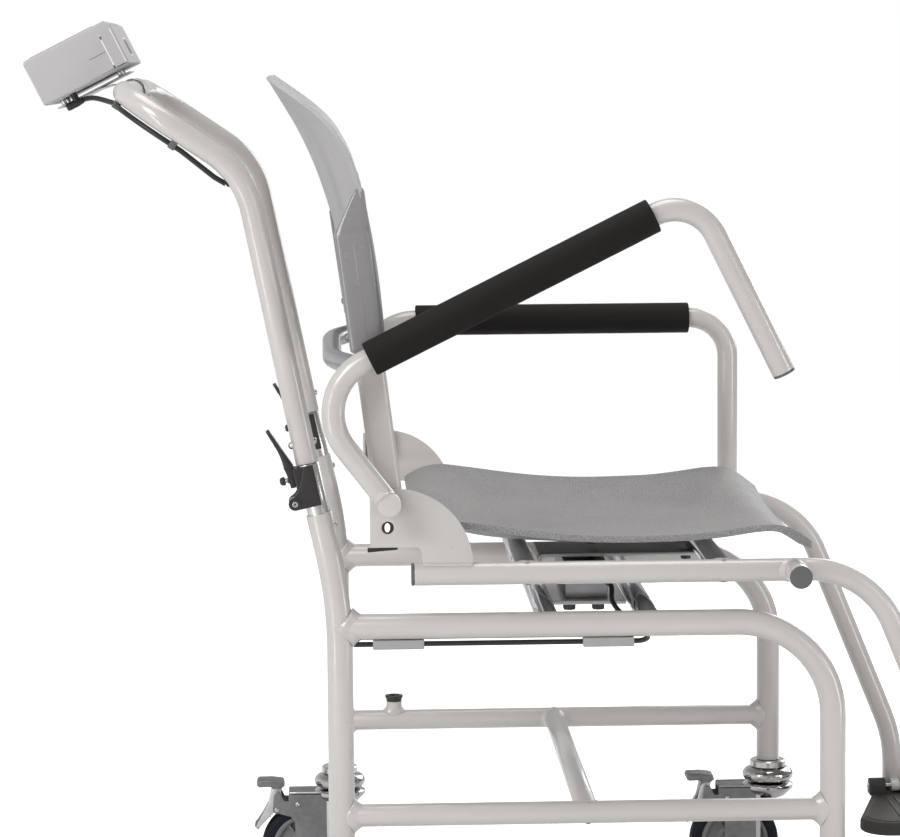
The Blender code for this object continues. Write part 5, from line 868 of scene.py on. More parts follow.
def back():
    """The back sheet: its edge and middle lines sweep rearward by smooth curves of the height, and across
    it the depth goes from middle to edge by the square of the share."""
    up, across = np.meshgrid(ended(50, 1.3), ended(44, 1.6) * 2 - 1, indexing="ij")
    z = BACK_LOW_Z + up * BACK_RISE
    foot = back_axis_x(BACK_FOOT_Z) + SLEEVE_HALF
    edge = foot - smooth_value(up, BACK_HEIGHTS, BACK_EDGE) * BACK_SWEEP
    held = back_axis_x(z) + SLEEVE_HALF + 0.0012
    edge = np.maximum(edge, held - np.maximum(z - SLEEVE_TOP_Z, 0.0) * 1.2)
    middle = foot - smooth_value(up, BACK_HEIGHTS, BACK_MIDDLE) * BACK_SWEEP
    taper = np.maximum(0.0, up - 0.55) / 0.45
    corner = np.minimum((1 - up) / 0.10, 1.0)
    rounding = 0.022 * (1 - np.sqrt(np.maximum(1 - (1 - corner) ** 2, 0.0)))
    half = BACK_HALF - (BACK_HALF - BACK_TOP_HALF) * taper ** 2 - rounding
    x = middle + (edge - middle) * np.abs(across) ** 2.0
    # The sheet takes the seat's plastic painted lighter for the light it catches
    shell_piece("back_sheet", np.stack([x, across * half, z], axis=-1), BACK_WALL, (-1, 0, 0),
                BACK_PLASTIC_LIT, "back_shell", 0.0013)
    for label, side in SIDES:
        back_sleeve(label, side)


def back_sleeve(label, side):
    """A squared-off ring, cosine and sine to the power 2 / 5, is carried up the leaning post; above the
    shoulder its rear face runs forward to a wedge, and a slight rim swells just below it."""
    shoulder, top = 0.1165, 0.156
    s = np.concatenate([[0, 0, 0.0012, 0.003], np.linspace(0.008, 0.112, 14),
                        np.linspace(shoulder, 0.152, 12), [0.1545, top, top]])
    full = 1 - np.concatenate([[1.0, 0.18, 0.06, 0.0], np.zeros(26), [0.10, 0.25, 1.0]])[:, None]
    low = (BACK_FOOT_Z - PIVOT[1]) / math.cos(BACK_LEAN)
    reach_back = 0.0020 + 0.0015 * np.minimum(s / shoulder, 1.0) if side > 0 else 0.0
    above = np.maximum(0.0, s - shoulder)
    rear = -SLEEVE_HALF - reach_back + above / (top - shoulder) * (0.0255 + reach_back)
    depth = ((SLEEVE_HALF - rear) / 2)[:, None] * full
    rim = 0.0007 * np.exp(-((s - shoulder + 0.0035) / 0.0028) ** 2)
    width = (0.010 + rim - 0.0018 * (s > shoulder) - 0.0030 * above / 0.04)[:, None] * full
    t = once_round(40)[None, :]
    power = 2.0 / 5.0
    forward = ((SLEEVE_HALF + rear) / 2)[:, None] + depth * powered(np.cos(t), power)
    y = side * BACK_POST_Y
    sleeve = surface(back_place(forward, y + width * powered(np.sin(t), power), low + s[:, None] + 0 * t))
    line = back_place(0.0, side * (BACK_POST_Y + 0.0099), low + np.array((0.008, 0.06, 0.112)))
    parting = carried(line, 0.0004, ALONG, 8, 0.0001)
    piece("back_sleeve_" + label, [sleeve, parting], "chair_frame", SLEEVE_PLASTIC)
    rearward = (-math.cos(BACK_LEAN), 0.0, -math.sin(BACK_LEAN))
    spot = back_place(-0.0176, y, low + 0.016)
    piece("sleeve_screw_" + label, [screw(spot, rearward, 0.0085, 0.0034)], "chair_frame", ZINC)


def back_posts_and_bow():
    """Flat-oval posts: a clipped cosine plus a plain one gives the flat sides; the bow is a bent round
    bar."""
    t = once_round(44)[None, :]
    s = np.concatenate([[-0.0175, -0.0175, -0.0169], np.linspace(-0.015, 0.245, 8), [0.2504, 0.251, 0.251]])
    scale = np.concatenate([[0, 0.93, 0.985], np.ones(8), [0.985, 0.93, 0]])[:, None]
    half = 0.0075
    forward = (np.clip(np.cos(t) * 0.0189, -0.0065, 0.0065) + np.cos(t) * half) * scale
    for label, side in SIDES:
        y = side * BACK_POST_Y
        post = surface(back_place(forward, y + np.sin(t) * half * scale, s[:, None] + 0 * t))
        piece("back_tube_" + label, [post], "chair_frame", FRAME_PAINT, "back_post_" + label)
        inner = (PIVOT[0], y - side * half, PIVOT[1])
        head = hex_head(inner, -side * ACROSS, 0.0175, 0.004)
        washer = turned(rod(0.0105, 0, 0.0011, 0.0004), inner, -side * ACROSS, 28)
        piece("pivot_bolt_head_" + label, [head, washer], "chair_frame", BRIGHT_ZINC)
    start_x, end_y, middle_x, middle_y = back_axis_x(BOW_Z), 0.2445, -0.004, 0.130
    corners = [(start_x, -end_y, BOW_Z), (middle_x, -middle_y, BOW_Z), (middle_x, middle_y, BOW_Z),
               (start_x, end_y, BOW_Z)]
    bow = carried(fillet_path(corners, [0.240, 0.240], 3), 0.00975, UP, 36)
    piece("back_bow_bar", [bow], "chair_frame", BOW_METAL, "back_bow")
    beads = [weld_bead((start_x, side * BACK_POST_Y, BOW_Z), (-0.25, -side, 0), 0.0100, UP, 0.0085, 0.0034)
             for _, side in SIDES]
    piece("back_bow_welds", beads, "chair_frame", FRAME_PAINT)


# Armrests

def arms():
    """A bent tube on a cross stub, drawn lying at rest and turned up about the pivot, with plug and foam
    sleeve."""
    rear_bend, front_bend = 0.055, 0.0435
    shift = ARM_HEIGHT * math.tan(ARM_LEAN)
    end = RAIL_Z + SLIM + 0.0003 - PIVOT[1]
    for label, side in SIDES:
        body = "armrest_" + label
        turn = (Matrix.Translation((PIVOT[0], side * ARM_Y, PIVOT[1]))
                @ Matrix.Rotation(-ARM_RAISED[label], 4, "Y"))
        path = fillet_path([(0, 0, 0), (-shift, 0, ARM_HEIGHT), (ARM_LENGTH, 0, ARM_HEIGHT),
                            (ARM_LENGTH, 0, end + 0.0028)], [rear_bend, front_bend], 4)
        stub = carried([(0, side * reach, 0) for reach in (ARM_STUB_Y - ARM_Y, 0, SLIM + 0.0004)],
                       SLIM + 0.0003, UP, 36, 0.0016)
        upward = (-math.sin(ARM_LEAN), 0, math.cos(ARM_LEAN))
        bead = weld_bead((0, 0, 0), upward, SLIM * 0.98, ACROSS, SLIM, 0.0040)
        parts = placed(turn, carried(path, SLIM, ACROSS, 34), stub, bead)
        piece("arm_tube_" + label, parts, body, FRAME_PAINT, "arm_" + label)
        plug = softened([(0, 0), (SLIM * 0.985, 0), (SLIM * 0.985, 0.0026), (0, 0.0030)], 0.0009, 20)
        foot = turned(plug, (ARM_LENGTH, 0, end + 0.0030), -UP, 36)
        piece("arm_plug_" + label, placed(turn, foot), body, CAP_GREY)
        start = rear_bend * math.tan((math.pi / 2 + ARM_LEAN) / 2) - shift + (0.005 if side < 0 else 0.001)
        spine = [(x, 0, ARM_HEIGHT) for x in np.linspace(start, ARM_LENGTH - front_bend - 0.001, 60)]
        sleeve = carried(spine, FOAM_RADIUS, UP, 48, 0.0014, swell=0.003)
        pad = piece("foam_sleeve_" + label, placed(turn, sleeve), body, FOAM, "arm_pad_" + label)


# Push handle, clamps and levers

def handle():
    """The U-shaped tube through both knees, and the heads of its through bolts."""
    end = lean_point(0, HANDLE_END)
    half = [(end[0], end[2]), HANDLE_KNEE, HANDLE_TOP]
    corners = [(x, -FRAME_Y, z) for x, z in half] + [(x, FRAME_Y, z) for x, z in half[::-1]]
    path = fillet_path(corners, [*HANDLE_BENDS, *HANDLE_BENDS[::-1]], 4)
    tube = carried(path, SLIM, (0.55, 0, 0.83), 36, 0.0011)
    piece("handle_tube", [tube], "push_handle", FRAME_PAINT, "push_handle")
    heads = [screw(lean_point(way * SLIM, 0.0698, side * FRAME_Y), way * POST_FRONT, 0.0070, 0.0030)
             for _, side in SIDES for way in (1, -1)]
    piece("handle_through_bolts", heads, "push_handle", BRIGHT_ZINC)


def clamps():
    """At each post's top: the spigot with its hinge lug and pin, the clamp's cheeks and web, the draw
    bolt."""
    gap, shell, thick = 0.0004, 0.0033, 0.0040
    wall = SLIM + gap + shell
    web_low, web_high = 0.0260, 0.0485
    pin_x, pin_z = CLAMP_PIN
    pin_spot = (pin_x, 0, pin_z)
    for label, side in SIDES:
        leaning = (Matrix.Translation(lean_point(0.0, 0.0, side * FRAME_Y))
                   @ Matrix.Rotation(-POST_LEAN, 4, "Y"))
        tube = carried([(0, 0, -0.0335), (0, 0, 0.0), (0, 0, 0.0495)], SLIM - 0.0002, ACROSS, 36)
        lug = np.vstack([arc(CLAMP_PIN, 0.0057, 90, 270, 12), mm((-7.4, 9.3), (-7.4, 20.7))])
        piece("spigot_tube_" + label, placed(leaning, tube, standing(lug, 0.010)), "chair_frame", ALUMINIUM,
              "hinge_spigot_" + label)
        pin = softened(mm((1.1, 0), (1.1, 15.8), (3, 15.8), (3, -15.8), (1.1, -15.8), (1.1, 0)), 0.0004)
        piece("clamp_pin_" + label, placed(leaning, turned(pin, pin_spot, ACROSS, 24)), "chair_frame",
              RACE_CHROME)
        cheek = np.vstack([mm((5, 8.7), (5, 48.5), (-4.3, 49), (-8, 40), (-11.6, 31.7), (-15.6, 25.8),
                              (-19, 22.6)), arc(CLAMP_PIN, 0.0064, 100, 270, 14)])
        saddle = np.vstack([mm((-3, 12.2), (-13.5, 12.2), (-15.2, 10.5), (-15.2, -10.5), (-13.5, -12.2),
                               (-3, -12.2)), arc((0, 0), 0.0114, 254.7, 105.3, 20)])
        ring = softened(mm((3.3, 0), (6.2, 0), (6.2, 0.7), (4, 0.7), (3.3, 0)), 0.0002)
        body = [standing(cheek, thick, hand * (wall - thick / 2), 0.0011) for hand in HANDS]
        body.append(slab(saddle, web_high - web_low, Matrix.Translation((0, 0, (web_low + web_high) / 2)), 0.0004))
        body += [turned(ring, (pin_x, hand * wall, pin_z), hand * ACROSS, 24) for hand in HANDS]
        piece("clamp_shell_" + label, placed(leaning, *body), "push_handle", CLAMP_BLACK,
              "clamp_body_" + label)
        bolt = turned(rod(0.0022, 0.012, 0.0265, 0.0004), (0, 0, BOLT_HEIGHT), -ALONG, 20)
        arm = turned(rod(0.0021, -0.0076, 0.0076), (-0.0212, 0, BOLT_HEIGHT), ACROSS, 16)
        piece("draw_bolt_" + label, placed(leaning, bolt, arm), "push_handle", BRIGHT_ZINC)
        nut = turned(softened(mm((0, 0), (4.25, 0), (4, 3.6), (2.6, 5.2), (0, 5.4)), 0.0006),
                     (-0.0246, 0, BOLT_HEIGHT), -ALONG, 20)
        piece("draw_nut_" + label, placed(leaning, nut), "push_handle", CLAMP_BLACK)
        lever(label, leaning)


def lever(label, leaning):
    """A cranked blade: a squared-off ring, cosine and sine to the power 2 / 4.2, is carried along a
    smooth curve from the pivot to the tip and narrows on the way; its root is two cheeks that straddle
    the draw bolt's nut."""
    spine = smooth_curve(mm((-18, 31), (-17.8, 40), (-18.7, 51.2), (-22.6, 66.5), (-30.5, 88.5)), 8)
    way = unit(np.gradient(spine, axis=0))
    normal = np.column_stack([way[:, 1], -way[:, 0]])
    share = np.linspace(0.0, 1.0, len(spine))
    thick = np.interp(share, [0, 0.25, 0.5, 0.62, 0.75, 1], [0.0052, 0.0066, 0.0094, 0.0072, 0.0050, 0.0036])
    wide = np.interp(share, [0, 0.5, 0.7, 1], [0.0078, 0.0078, 0.0064, 0.0056])
    a = once_round(32)[None, :]
    power, rim = 2.0 / 4.2, 0.0010

    def bar(first, last, middle, half):
        index = np.concatenate([[first, first], np.arange(first, last + 1), [last, last]])
        steps = last + 1 - first
        inset = np.concatenate([[0, 0.86], np.ones(steps), [0.86, 0]])
        shift = np.concatenate([[-rim, -rim], np.zeros(steps), [rim, rim]])
        rib = 1 + 0.05 * (share[index] > 0.72) * np.sin(share[index] * 120)
        u = (thick[index] / 2 * inset * rib)[:, None] * powered(np.cos(a), power)
        v = middle + (half[index] * inset)[:, None] * powered(np.sin(a), power)
        base = (spine[index] + way[index] * shift[:, None])[:, None] + u[:, :, None] * normal[index][:, None]
        return surface(np.stack([base[:, :, 0], v, base[:, :, 1]], axis=-1))

    cheek = np.full(len(spine), 0.0015)
    parts = [bar(14, len(spine) - 1, 0.0, wide)] + [bar(0, 16, hand * 0.0063, cheek) for hand in HANDS]
    parts.append(turned(rod(0.0036, -0.0080, 0.0080, 0.0008), (-0.0188, 0, BOLT_HEIGHT), ACROSS, 28))
    piece("lever_blade_" + label, placed(leaning, *parts), "clamp_lever_" + label, CLAMP_BLACK,
          "clamp_lever_" + label)


# Indicator

# Marks on both end faces, in millimetres: place along and up, width, height
# The dark marks are painted shade in the grooves and slots; the light marks are painted highlights on the groove
# lips
SHADE_MARKS = ((80.8, 35, 1.4, 3.6), (79.9, 3.6, 1.4, 3.4), (69.7, 20.6, 17.6, 0.5), (83.8, 2.4, 1.6, 0.5),
              (86.6, 2.4, 1.6, 0.5), (89.4, 2.4, 1.6, 0.5))
HIGHLIGHT_MARKS = ((80.3, 19.2, 1.1, 28), (80.6, 37.5, 1.4, 1.2), (92.8, 21.5, 0.8, 37))


def indicator():
    """The case, its plug, and the grooves on its two ends and its front, drawn as flat marks of painted
    shade with painted highlights on their lips.
    """
    box = case_matrix()
    length, height, middle = CASE_LENGTH, CASE_HEIGHT, CASE_LENGTH / 2
    outline = fillet_path([(middle, 0, 0), (0, 0, 0), (0, height, 0), (length - 0.0050, height, 0),
                           (length, height - 0.0065, 0), (length, 0, 0), (middle, 0, 0)],
                          [0.0026, 0.0040, 0.0018, 0.0018, 0.0014], 15)[:-1, :2]
    shell = standing(outline, CASE_HALF * 2, 0.0, 0.0022)
    piece("indicator_shell", placed(box, shell), "push_handle", CASE_GREY, "indicator_case")
    neck = turned(rod(0.0036, 0.001, PLUG_DROP), (0.0287, PLUG_Y, 0), UP, 24)
    profile = softened(mm((0, 0), (3.4, 0), (4, 3), (4, 11.8), (3.3, 17.2), (2.9, 18.6), (0, 18.6)), 0.0007)
    plug = turned(profile, (0.0165, PLUG_Y, PLUG_DROP), ALONG, 28)
    piece("cable_plug", placed(box, neck, plug), "push_handle", CLAMP_BLACK)
    facing = Matrix.Rotation(math.pi / 2, 4, "Y") @ Matrix.Rotation(math.pi / 2, 4, "Z")
    for name, material, rows, wide, tall, proud in (
            ("case_groove_shade", GROOVE_SHADE, SHADE_MARKS, 0.0350, 0.0165, 0.0003),
            ("case_groove_highlights", GROOVE_HIGHLIGHT, HIGHLIGHT_MARKS, 0.0400, 0.0205, 0.0001)):
        marks = [standing(rounded_rectangle(w, h, min(w, h) / 2.2, 2, (u, z)), 0.0005,
                          hand * (CASE_HALF - 0.0001), 0.0001) for hand in HANDS for u, z, w, h in mm(*rows)]
        # On the front: a recess of painted shade inside a rim of painted highlight
        front = Matrix.Translation((length + proud - 0.0002, 0, RECESS_Z)) @ facing
        marks.append(slab(rounded_rectangle(wide, tall, 0.0020), 0.0008, front, 0.0001))
        piece(name, placed(box, *marks), "push_handle", material)
    front_panel(box)
    bracket(box)


def front_panel(box):
    """The membrane sheet with its window, three noughts and a point, and six blank keys."""
    def tile(wide, tall, radius, thick, x, y, lift, bevel, steps=4):
        place = Matrix.Translation((x, y, CASE_HEIGHT + lift))
        return slab(rounded_rectangle(wide, tall, radius, steps), thick, place, bevel)

    sheet = tile(0.0715, 0.196, 0.004, 0.0018, 0.04275, 0, -0.0003, 0.0005)
    piece("membrane_sheet", placed(box, sheet), "push_handle", PANEL, "indicator_panel")
    glass = tile(0.030, 0.112, 0.0025, 0.0012, WINDOW_X, WINDOW_Y, 0.0004, 0.0004)
    piece("display_glass", placed(box, glass), "push_handle", SCREEN)
    wide, tall, stroke, pitch = 0.0105, 0.0190, 0.0019, 0.0200
    bars = []
    for place in (0.5, -0.5, -1.5):
        for up, aside in ((2, 0), (1, -1), (-1, -1), (-2, 0), (-1, 1), (1, 1)):
            size = (tall / 2 - stroke * 0.9, stroke) if aside else (stroke, wide - stroke)
            bars.append((*size, WINDOW_X + up * tall / 4, WINDOW_Y + place * pitch + aside * wide / 2))
    bars.append((stroke, stroke, WINDOW_X - tall / 2, WINDOW_Y - pitch))
    segments = [tile(w, h, stroke * 0.3, 0.0005, x, y, 0.0011, 0.0001, 2) for w, h, x, y in bars]
    piece("display_segments", placed(box, *segments), "push_handle", DIGIT)
    keys = [tile(0.0115, 0.0150, 0.0025, 0.0014, 0.0215, -0.075 + column * 0.030, 0.0005, 0.0005)
            for column in range(6)]
    piece("membrane_keys", placed(box, *keys), "push_handle", KEY)


def bracket(box):
    """The sheet under the case, its strap round the handle tube, two nuts and four spacers."""
    centre = box.inverted() @ Vector((HANDLE_TOP[0], 0.0, HANDLE_TOP[1]))
    low, line_z = STRAP_SHEET_LOW, STRAP_SHEET_LOW - 0.0009
    strap = fillet_path([(0.0120, 0, line_z), (0.0520, 0, line_z), (0.0665, 0, -0.0100),
                         (0.0730, 0, -0.0126)], [0.02, 0.01])
    wrap = arc((centre.x, centre.z), SLIM + 0.0012, 114, -62, 24)
    plate = block((0.0055, -0.040, low), (0.0880, 0.040, low + 0.0012), 0.0004)
    band = ribbon(np.concatenate([strap[:, (0, 2)], wrap]), 0.038, 0.0014)
    piece("indicator_strap", placed(box, plate, band), "push_handle", BRIGHT_ZINC,
          "indicator_bracket")
    nuts = [hex_head((0.018, hand * 0.028, line_z - 0.0007), -UP, 0.0075, 0.0032) for hand in HANDS]
    piece("strap_nuts", placed(box, *nuts), "push_handle", ZINC)
    spacer = rod(0.0030, 0.0010, low + 0.0010, 0.0005)
    feet = [turned(spacer, (x, hand * 0.030, 0), UP, 20) for x in (0.014, 0.078) for hand in HANDS]
    piece("bracket_spacers", placed(box, *feet), "push_handle", BRIGHT_ZINC)


def ribbon(line, half_width, thickness):
    """A bent strip of sheet: a flat rounded rectangle, half the width across and half the sheet along the
    normal, is carried along a line in the XZ plane."""
    way = unit(np.gradient(line, axis=0))
    normal = np.column_stack([-way[:, 1], way[:, 0]])
    ring = rounded_rectangle(half_width * 2, thickness, thickness * 0.35, 3)[None]
    index = np.concatenate([[0], np.arange(len(line)), [len(line) - 1]])
    size = np.concatenate([[0.0], np.ones(len(line)), [0.0]])[:, None]
    places = line[index][:, None] + (ring[:, :, 1] * size)[:, :, None] * normal[index][:, None]
    return surface(np.stack([places[:, :, 0], ring[:, :, 0] * size, places[:, :, 1]], axis=-1))


# Footplates

def footplates():
    """A tray with rounded corners, a raised rim line, eleven ribs and two hinge knuckles."""
    top, rear, front, outer, inner, r = FOOT_TOP_Z, 0.5675, 0.739, 0.262, 0.080, 0.032
    ribs, pitch, rib_half, drawn_in = 11, 0.0095, 0.0017, 0.925
    plan = np.vstack([arc((rear + r * 2, outer - r), r, 90, 180, 10),
                      arc((rear + r, inner + r), r, 180, 270, 10),
                      arc((front - r, inner + r), r, 270, 360, 10),
                      arc((front - r / 2, outer - r / 2), r / 2, 0, 90, 8)])
    for label, side in SIDES:
        mirror = Matrix.Scale(side, 4, ACROSS)
        rim = np.column_stack([plan, np.full(len(plan), top - 0.0012)]) * (1, side, 1)
        centre = rim.mean(axis=0)
        rim = centre + (rim - centre) * drawn_in
        parts = [slab(plan, 0.0148, mirror @ Matrix.Translation((0, 0, top - 0.0082)), 0.0034),
                 carried(np.concatenate([rim, rim[:1]]), 0.0013, UP, 10, 0.0004)]
        for rib in range(ribs):
            x = rear + 0.045 + rib * pitch
            parts.append(block((x - rib_half, side * (inner + 0.024), top - 0.0020),
                               (x + rib_half, side * (outer - 0.052), top + 0.0001), 0.0006, 0.0012))
        for middle, high, reach in ((-0.0208, 0.0092, 0.0184), (0.0173, 0.0062, 0.0248)):
            knuckle = np.vstack([(high, -0.0095), arc((0, 0), high, 0, 180, 16), (-high, -0.0095)])
            place = (Matrix.Translation((HINGE[0] + middle, side * HINGE[1], HINGE[2]))
                     @ Matrix.Rotation(math.pi / 2, 4, "Z") @ upright())
            parts.append(slab(knuckle, reach, place, 0.0012))
        piece("footplate_tray_" + label, parts, "footplate_" + label, PLATE_BLACK,
              "footplate_" + label)


# Castors

def castors():
    """Four castors: leg nut and upper race on the frame, then fork, wheel and brake pedal on their own
    bodies."""
    nut_top, top = LEG_END_Z - 0.0003, RACE_TOP_Z
    low = top - 0.016
    nut = [(0, nut_top), (0.0186, nut_top), (0.0200, nut_top - 0.0012), (0.0200, top + 0.0014),
           (0.0190, top + 0.0004), (0.0150, top + 0.0002), (0.0130, top - 0.001), (0, top - 0.001)]
    bulge = np.radians(np.linspace(0, 150, 18))
    race = [(0, top - 0.0008), (0.0135, top - 0.0008),
            *((0.0185 + 0.0100 * math.sin(a), low + 0.0078 + 0.0082 * math.cos(a)) for a in bulge),
            (0.0215, low), (0.006, low), (0.006, low - 0.018), (0.010, low - 0.0185), (0.010, low - 0.022),
            (0, low - 0.0225)]
    ring_top = low - 0.0012
    for axle, x in CASTORS:
        for label, side in SIDES:
            tag = axle + "_" + label
            spot = np.array((x, side * FRAME_Y, 0.0))
            leg_nut, upper_race = turned(nut, spot, steps=48), turned(race, spot, steps=56)
            piece("castor_nut_" + tag, [leg_nut], "chair_frame", BRIGHT_ZINC)
            piece("castor_race_" + tag, [upper_race], "chair_frame", RACE_CHROME,
                  "castor_head_" + tag)
            fork(tag, spot, ring_top)
            wheel(tag, spot)
            pedal(tag, spot)


def fork_outline(top):
    """Side view of the pressed fork: round foot at the axle, straight neck, notch and a horn for the
    pedal."""
    return np.vstack([arc((-CASTOR_TRAIL, AXLE_Z), 0.012, 180, 330, 14), (-0.014, 0.056), (-0.014, top),
                      (-0.0575, top), (-0.0575, top - 0.0095), (-0.0622, top - 0.0095),
                      (-0.0670, top + 0.0003),
                      arc((PEDAL_PIVOT[0] + 0.0024, top - 0.0048), 0.0057, 90, 180, 6),
                      arc(PEDAL_PIVOT, 0.0045, 180, 290, 8), mm((-55.2, 87.2), (-51.2, 81.5), (-50.5, 77))])


def fork(tag, spot, ring_top):
    """The lower race's skirt, two pressed sides under a bridge, and the bright strips, rivets, nuts and
    tips; the strips and the bright lines along the bridge's edges are painted highlights."""
    body, top, outside = "castor_fork_" + tag, ring_top - 0.002, 0.0173
    ring_low = ring_top - 0.006
    nose_low = ring_low - 0.0095
    skirt = softened([(0.0064, ring_top), (0.0250, ring_top), (0.0285, ring_top - 0.0020), (0.0285, ring_low),
                      (0.0190, nose_low), (0.0064, nose_low), (0.0064, ring_top)], 0.0009, 20)
    piece("fork_skirt_" + tag, [turned(skirt, spot, steps=56)], body, RACE_CHROME)
    place = Matrix.Translation(spot)
    parts = [standing(fork_outline(top), 0.0025, hand * 0.01605, 0.0006) for hand in HANDS]
    parts.append(block((-0.0570, -outside, top - 0.0030), (-0.004, outside, top), 0.0011, 0.0018))
    piece("fork_pressing_" + tag, placed(place, *parts), body, ZINC, body)
    bright = []
    for hand in HANDS:
        way, pivot = hand * ACROSS, (PEDAL_PIVOT[0], hand * outside, PEDAL_PIVOT[1])
        turn = Matrix.Rotation(math.radians(hand * 24), 4, "Z") @ Matrix.Rotation(math.pi / 2, 4, "X")
        # Painted highlight: a bright strip laid on each side where the fork's front edge shines
        bright += [slab(rounded_rectangle(0.0052, 0.0560, 0.0012), 0.0012,
                        Matrix.Translation((-0.0128, hand * 0.0178, 0.0830)) @ turn, 0.0004),
                   screw((-0.0476, hand * outside, 0.1020), way, 0.0062, 0.0030),
                   hex_head((-CASTOR_TRAIL, hand * outside, AXLE_Z), way, 0.0125, 0.0045),
                   turned(rod(0.0024, 0, 0.0010, 0.0003), pivot, way, 16)]
    # Painted highlight: bright lines along the top edges of the bridge
    edge = [(x, y, top + 0.0002) for x, y in mm((-56.5, -16), (-20, -16.8), (-16, -16.8))]
    points, faces = carried(edge, 0.0009, UP, 10, 0.0003)
    bright += [(points, faces), (points * (1, -1, 1), faces)]
    piece("fork_bright_parts_" + tag, placed(place, *bright), body, BRIGHT_ZINC)


def wheel(tag, spot):
    """A turned tyre, and a turned hub with five spokes."""
    body = "castor_wheel_" + tag
    centre = spot + (-CASTOR_TRAIL, 0, AXLE_Z)
    flank = mm((37.5, 9.5), (38.5, 11.8), (44, 12), (48.5, 9.5), (50, 5))
    tyre = softened(np.vstack([flank, flank[::-1] * (1, -1), flank[:1]]), 0.0012, 25)
    piece("tyre_" + tag, [turned(tyre, centre, ACROSS, 72)], body, TYRE, body)
    flank = mm((4.4, 14.25), (12, 14.25), (15, 13.2), (15.6, 7), (20, 5.2), (30, 5.2), (32.5, 9.8),
               (34.5, 11.2), (37.8, 11.2), (38.4, 8))
    hub = softened(np.vstack([flank, flank[::-1] * (1, -1), flank[:1]]), 0.0009, 25)
    parts = [turned(hub, centre, ACROSS, 64)]
    for angle in once_round(SPOKES) + FIRST_SPOKE:
        turn = Matrix.Translation(centre) @ Matrix.Rotation(angle, 4, "Y")
        parts += placed(turn, block((0.0145, -0.0090, -0.0016), (0.0330, 0.0090, 0.0016), 0.0005, 0.0009))
    piece("wheel_hub_" + tag, parts, body, HUB_GREY)


def pedal(tag, spot):
    """Ridged upper tread, an arm down past the pivot, and a lower lever with a rubber-faced shoe."""
    body = "brake_pedal_" + tag
    place = Matrix.Translation(spot + (PEDAL_PIVOT[0], 0, PEDAL_PIVOT[1]))
    tread = np.vstack([mm((4.6, 22.2), (9.2, 26.2), (7.8, 30.8), (-4, 32.6)),
                       arc((-0.0182, 0.0286), 0.0040, 78, 262, 8), mm((-7, 25), (-2, 21.8))])
    arm = mm((4.6, -1), (5, 23.2), (-2.2, 23.2), (-6.2, 19), (-9.5, 5), (-23.5, -19), (-21.8, -21.6),
             (-17, -18.2), (-3, -3.8))
    top = [standing(tread, 0.0272, 0.0, 0.0020)]
    ridges, pitch, half, reach = 7, 0.0036, 0.0009, 0.0112
    for ridge in range(ridges):
        x = -0.0178 + ridge * pitch
        z = 0.0326 - 0.0004 * abs(ridge - ridges // 2)
        top.append(block((x - half, -reach, z - 0.0016), (x + half, reach, z + 0.0004), 0.0004, 0.0006))
    arms_made = []
    ring = softened(mm((2.6, 0), (4.8, 0), (4.8, 1.2), (2.6, 1.2)), 0.0003)
    for hand in HANDS:
        arms_made += [standing(arm, 0.0022, hand * 0.0128, 0.0005),
                      turned(ring, (0, hand * 0.0132, 0), hand * ACROSS, 24)]
    heel = standing(mm((-24.8, -19.2), (-21.2, -23.2), (-6, -3.5), (-9, -1)), 0.0262, 0.0, 0.0007)
    shoe = block((-0.0125, -0.0105, -0.0098), (-0.0066, 0.0105, -0.0040), 0.0010, 0.0014)
    piece("pedal_tread_" + tag, placed(place, *top), body, ZINC, body)
    piece("pedal_arms_" + tag, placed(place, *arms_made), body, BRIGHT_ZINC)
    piece("pedal_heel_" + tag, placed(place, heel, shoe), body, CLAMP_BLACK)


# Load cell, its channel and plate, and the rail clips

